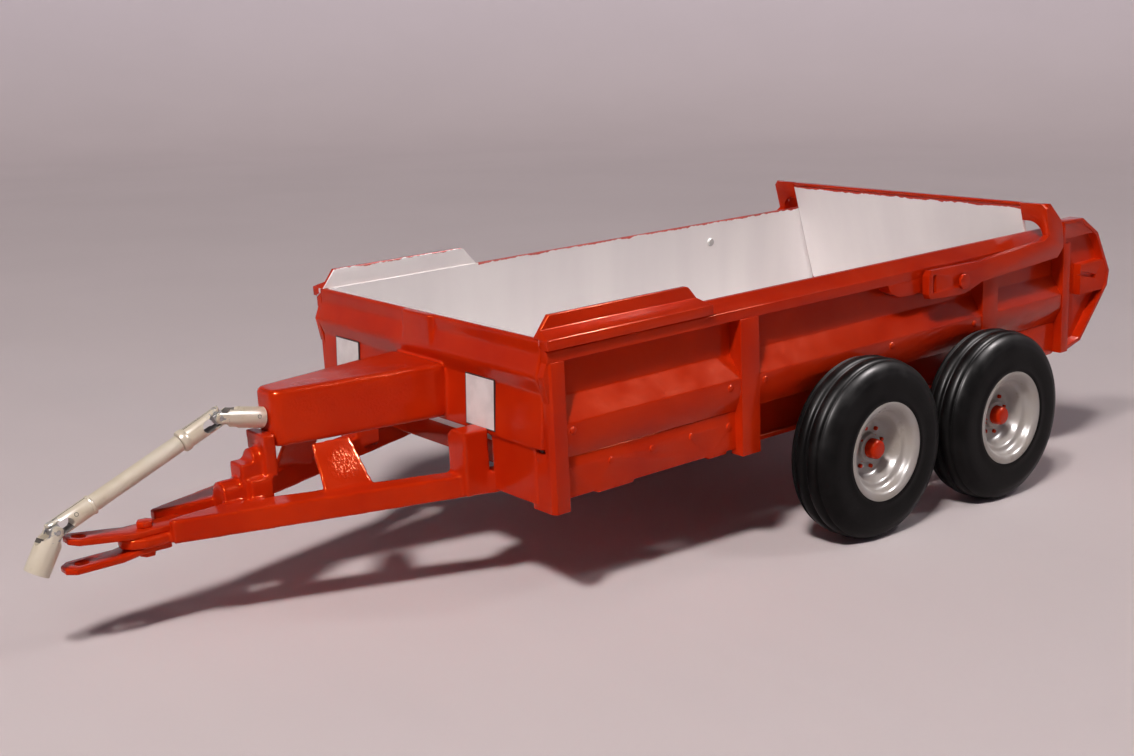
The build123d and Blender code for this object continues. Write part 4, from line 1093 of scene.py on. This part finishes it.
class SPREADER_OT_studio(bpy.types.Operator):
    """Makes the floor, the lights and the camera"""

    bl_idname = "spreader.studio"
    bl_label = "Studio"

    def execute(self, context):
        studio = context.scene.spreader_studio
        self.floor(studio)
        self.lights(studio)
        self.camera(studio)
        context.scene.view_settings.view_transform = "Standard"
        return {"FINISHED"}

    def floor(self, studio):
        """A round floor that bends up into a low cove."""
        recipe = Recipe("studio_floor", Roughness=0.85, Specular_IOR_Level=0.2)
        tone = tuple(studio.floor)
        shade = tuple(v * 0.97 for v in tone)
        level = recipe.mix(recipe.span(recipe.noise(6.0, 3.0), 0.35, 0.65), shade, tone)
        apart = recipe.add("ShaderNodeSeparateXYZ")
        recipe.wire(recipe.place, apart.inputs[0])
        rise = recipe.span(apart.outputs["Z"], 0.0, 0.5)
        recipe.bump((recipe.noise(9.0, 2.0), 0.2, 0.002))
        recipe.finish(recipe.mix(rise, level, tuple(studio.cove)))
        profile = [(0.0, share * studio.reach) for share in (0.0, 0.3, 0.7, 1.0)]
        for step in range(1, COVE_STEPS + 1):
            turn = math.pi / 2 * step / COVE_STEPS
            profile.append((COVE_RADIUS * (1 - math.cos(turn)),
                            studio.reach + COVE_RADIUS * math.sin(turn)))
        profile.append((COVE_HEIGHT, studio.reach + COVE_RADIUS))
        up = Vector((0, 0, 1))
        floor = spun("studio_floor", profile, Vector(), up, FLOOR_STEPS, closed=False)
        floor.data.flip_normals()
        smooth(floor, SMOOTH_DEGREES)
        floor.data.materials.append(recipe.material)

    def lights(self, studio):
        """Two suns and a lamp that light the toy, and two lamps that only make it gleam."""
        world = bpy.data.worlds.new("studio_air")
        bpy.context.scene.world = world
        world.use_nodes = True
        back = world.node_tree.nodes["Background"]
        back.inputs["Color"].default_value = AIR_COLOUR
        back.inputs["Strength"].default_value = studio.air_strength
        lamps = (
            ("key_light", "SUN", KEY_FROM, studio.key_strength, KEY_COLOUR),
            ("near_light", "AREA", KEY_FROM, studio.near_power, KEY_COLOUR),
            ("side_light", "SUN", SIDE_FROM, studio.side_strength, SIDE_COLOUR),
            ("key_gleam", "AREA", KEY_FROM, studio.gleam_power, GLEAM_COLOUR),
            ("side_gleam", "AREA", SIDE_FROM, studio.gleam_power, GLEAM_COLOUR),
        )
        for name, kind, place, strength, colour in lamps:
            data = bpy.data.lights.new(name, kind)
            data.energy = strength
            data.color = colour
            if kind == "SUN":
                data.angle = LAMP_SPREAD
            else:
                data.shape = "DISK"
                data.size = 2 * Vector(place).length * math.tan(LAMP_SPREAD / 2)
            lamp = linked(name, data)
            lamp.visible_diffuse = not name.endswith("gleam")
            lamp.location = place
            lamp.rotation_euler = (-Vector(place)).to_track_quat("-Z", "Y").to_euler()

    def camera(self, studio):
        """The camera, placed and turned in the leaning body."""
        yaw, pitch, roll = (math.radians(v) for v in (CAMERA_YAW, CAMERA_PITCH, CAMERA_ROLL))
        ahead = Vector((math.cos(yaw) * math.cos(pitch), math.sin(yaw) * math.cos(pitch),
                        -math.sin(pitch)))
        level = ahead.cross(Vector((0, 0, 1))).normalized()
        over = level.cross(ahead)
        right = math.cos(roll) * level + math.sin(roll) * over
        above = math.cos(roll) * over - math.sin(roll) * level
        turn = LEAN @ Matrix((right, above, -ahead)).transposed()
        data = bpy.data.cameras.new("camera")
        data.lens = studio.lens
        data.sensor_width = SENSOR_WIDTH
        data.clip_start = 0.01
        camera = linked("camera", data)
        camera.matrix_world = Matrix.Translation(placed(*CAMERA_PLACE)) @ turn.to_4x4()
        bpy.context.scene.camera = camera


# ---------------------------------------- panel and registration
OPERATORS = (
    SPREADER_OT_steelwork,
    SPREADER_OT_tub,
    SPREADER_OT_wheels,
    SPREADER_OT_driveline,
    SPREADER_OT_plates,
    SPREADER_OT_rivets,
    SPREADER_OT_rear_skirts,
    SPREADER_OT_axles,
    SPREADER_OT_studio,
)
GROUPS = (
    ("spreader_paint", SpreaderPaint),
    ("spreader_sizes", SpreaderSizes),
    ("spreader_studio", SpreaderStudio),
)


class SPREADER_PT_panel(bpy.types.Panel):
    """Settings and build steps of the toy box spreader"""

    bl_idname = "SPREADER_PT_panel"
    bl_label = "Toy Box Spreader"
    bl_space_type = "VIEW_3D"
    bl_region_type = "UI"
    bl_category = "Spreader"

    def draw(self, context):
        for attribute, group in GROUPS:
            box = self.layout.box()
            for name in group.__annotations__:
                box.prop(getattr(context.scene, attribute), name)
        for operator in OPERATORS:
            self.layout.operator(operator.bl_idname)


def register():
    for attribute, group in GROUPS:
        bpy.utils.register_class(group)
        setattr(bpy.types.Scene, attribute, bpy.props.PointerProperty(type=group))
    for operator in OPERATORS:
        bpy.utils.register_class(operator)
    bpy.utils.register_class(SPREADER_PT_panel)


def unregister():
    bpy.utils.unregister_class(SPREADER_PT_panel)
    for operator in reversed(OPERATORS):
        bpy.utils.unregister_class(operator)
    for attribute, group in reversed(GROUPS):
        delattr(bpy.types.Scene, attribute)
        bpy.utils.unregister_class(group)


def main():
    register()
    for operator in OPERATORS:
        group, name = operator.bl_idname.split(".")
        getattr(getattr(bpy.ops, group), name)()


if __name__ == "__main__":
    main()
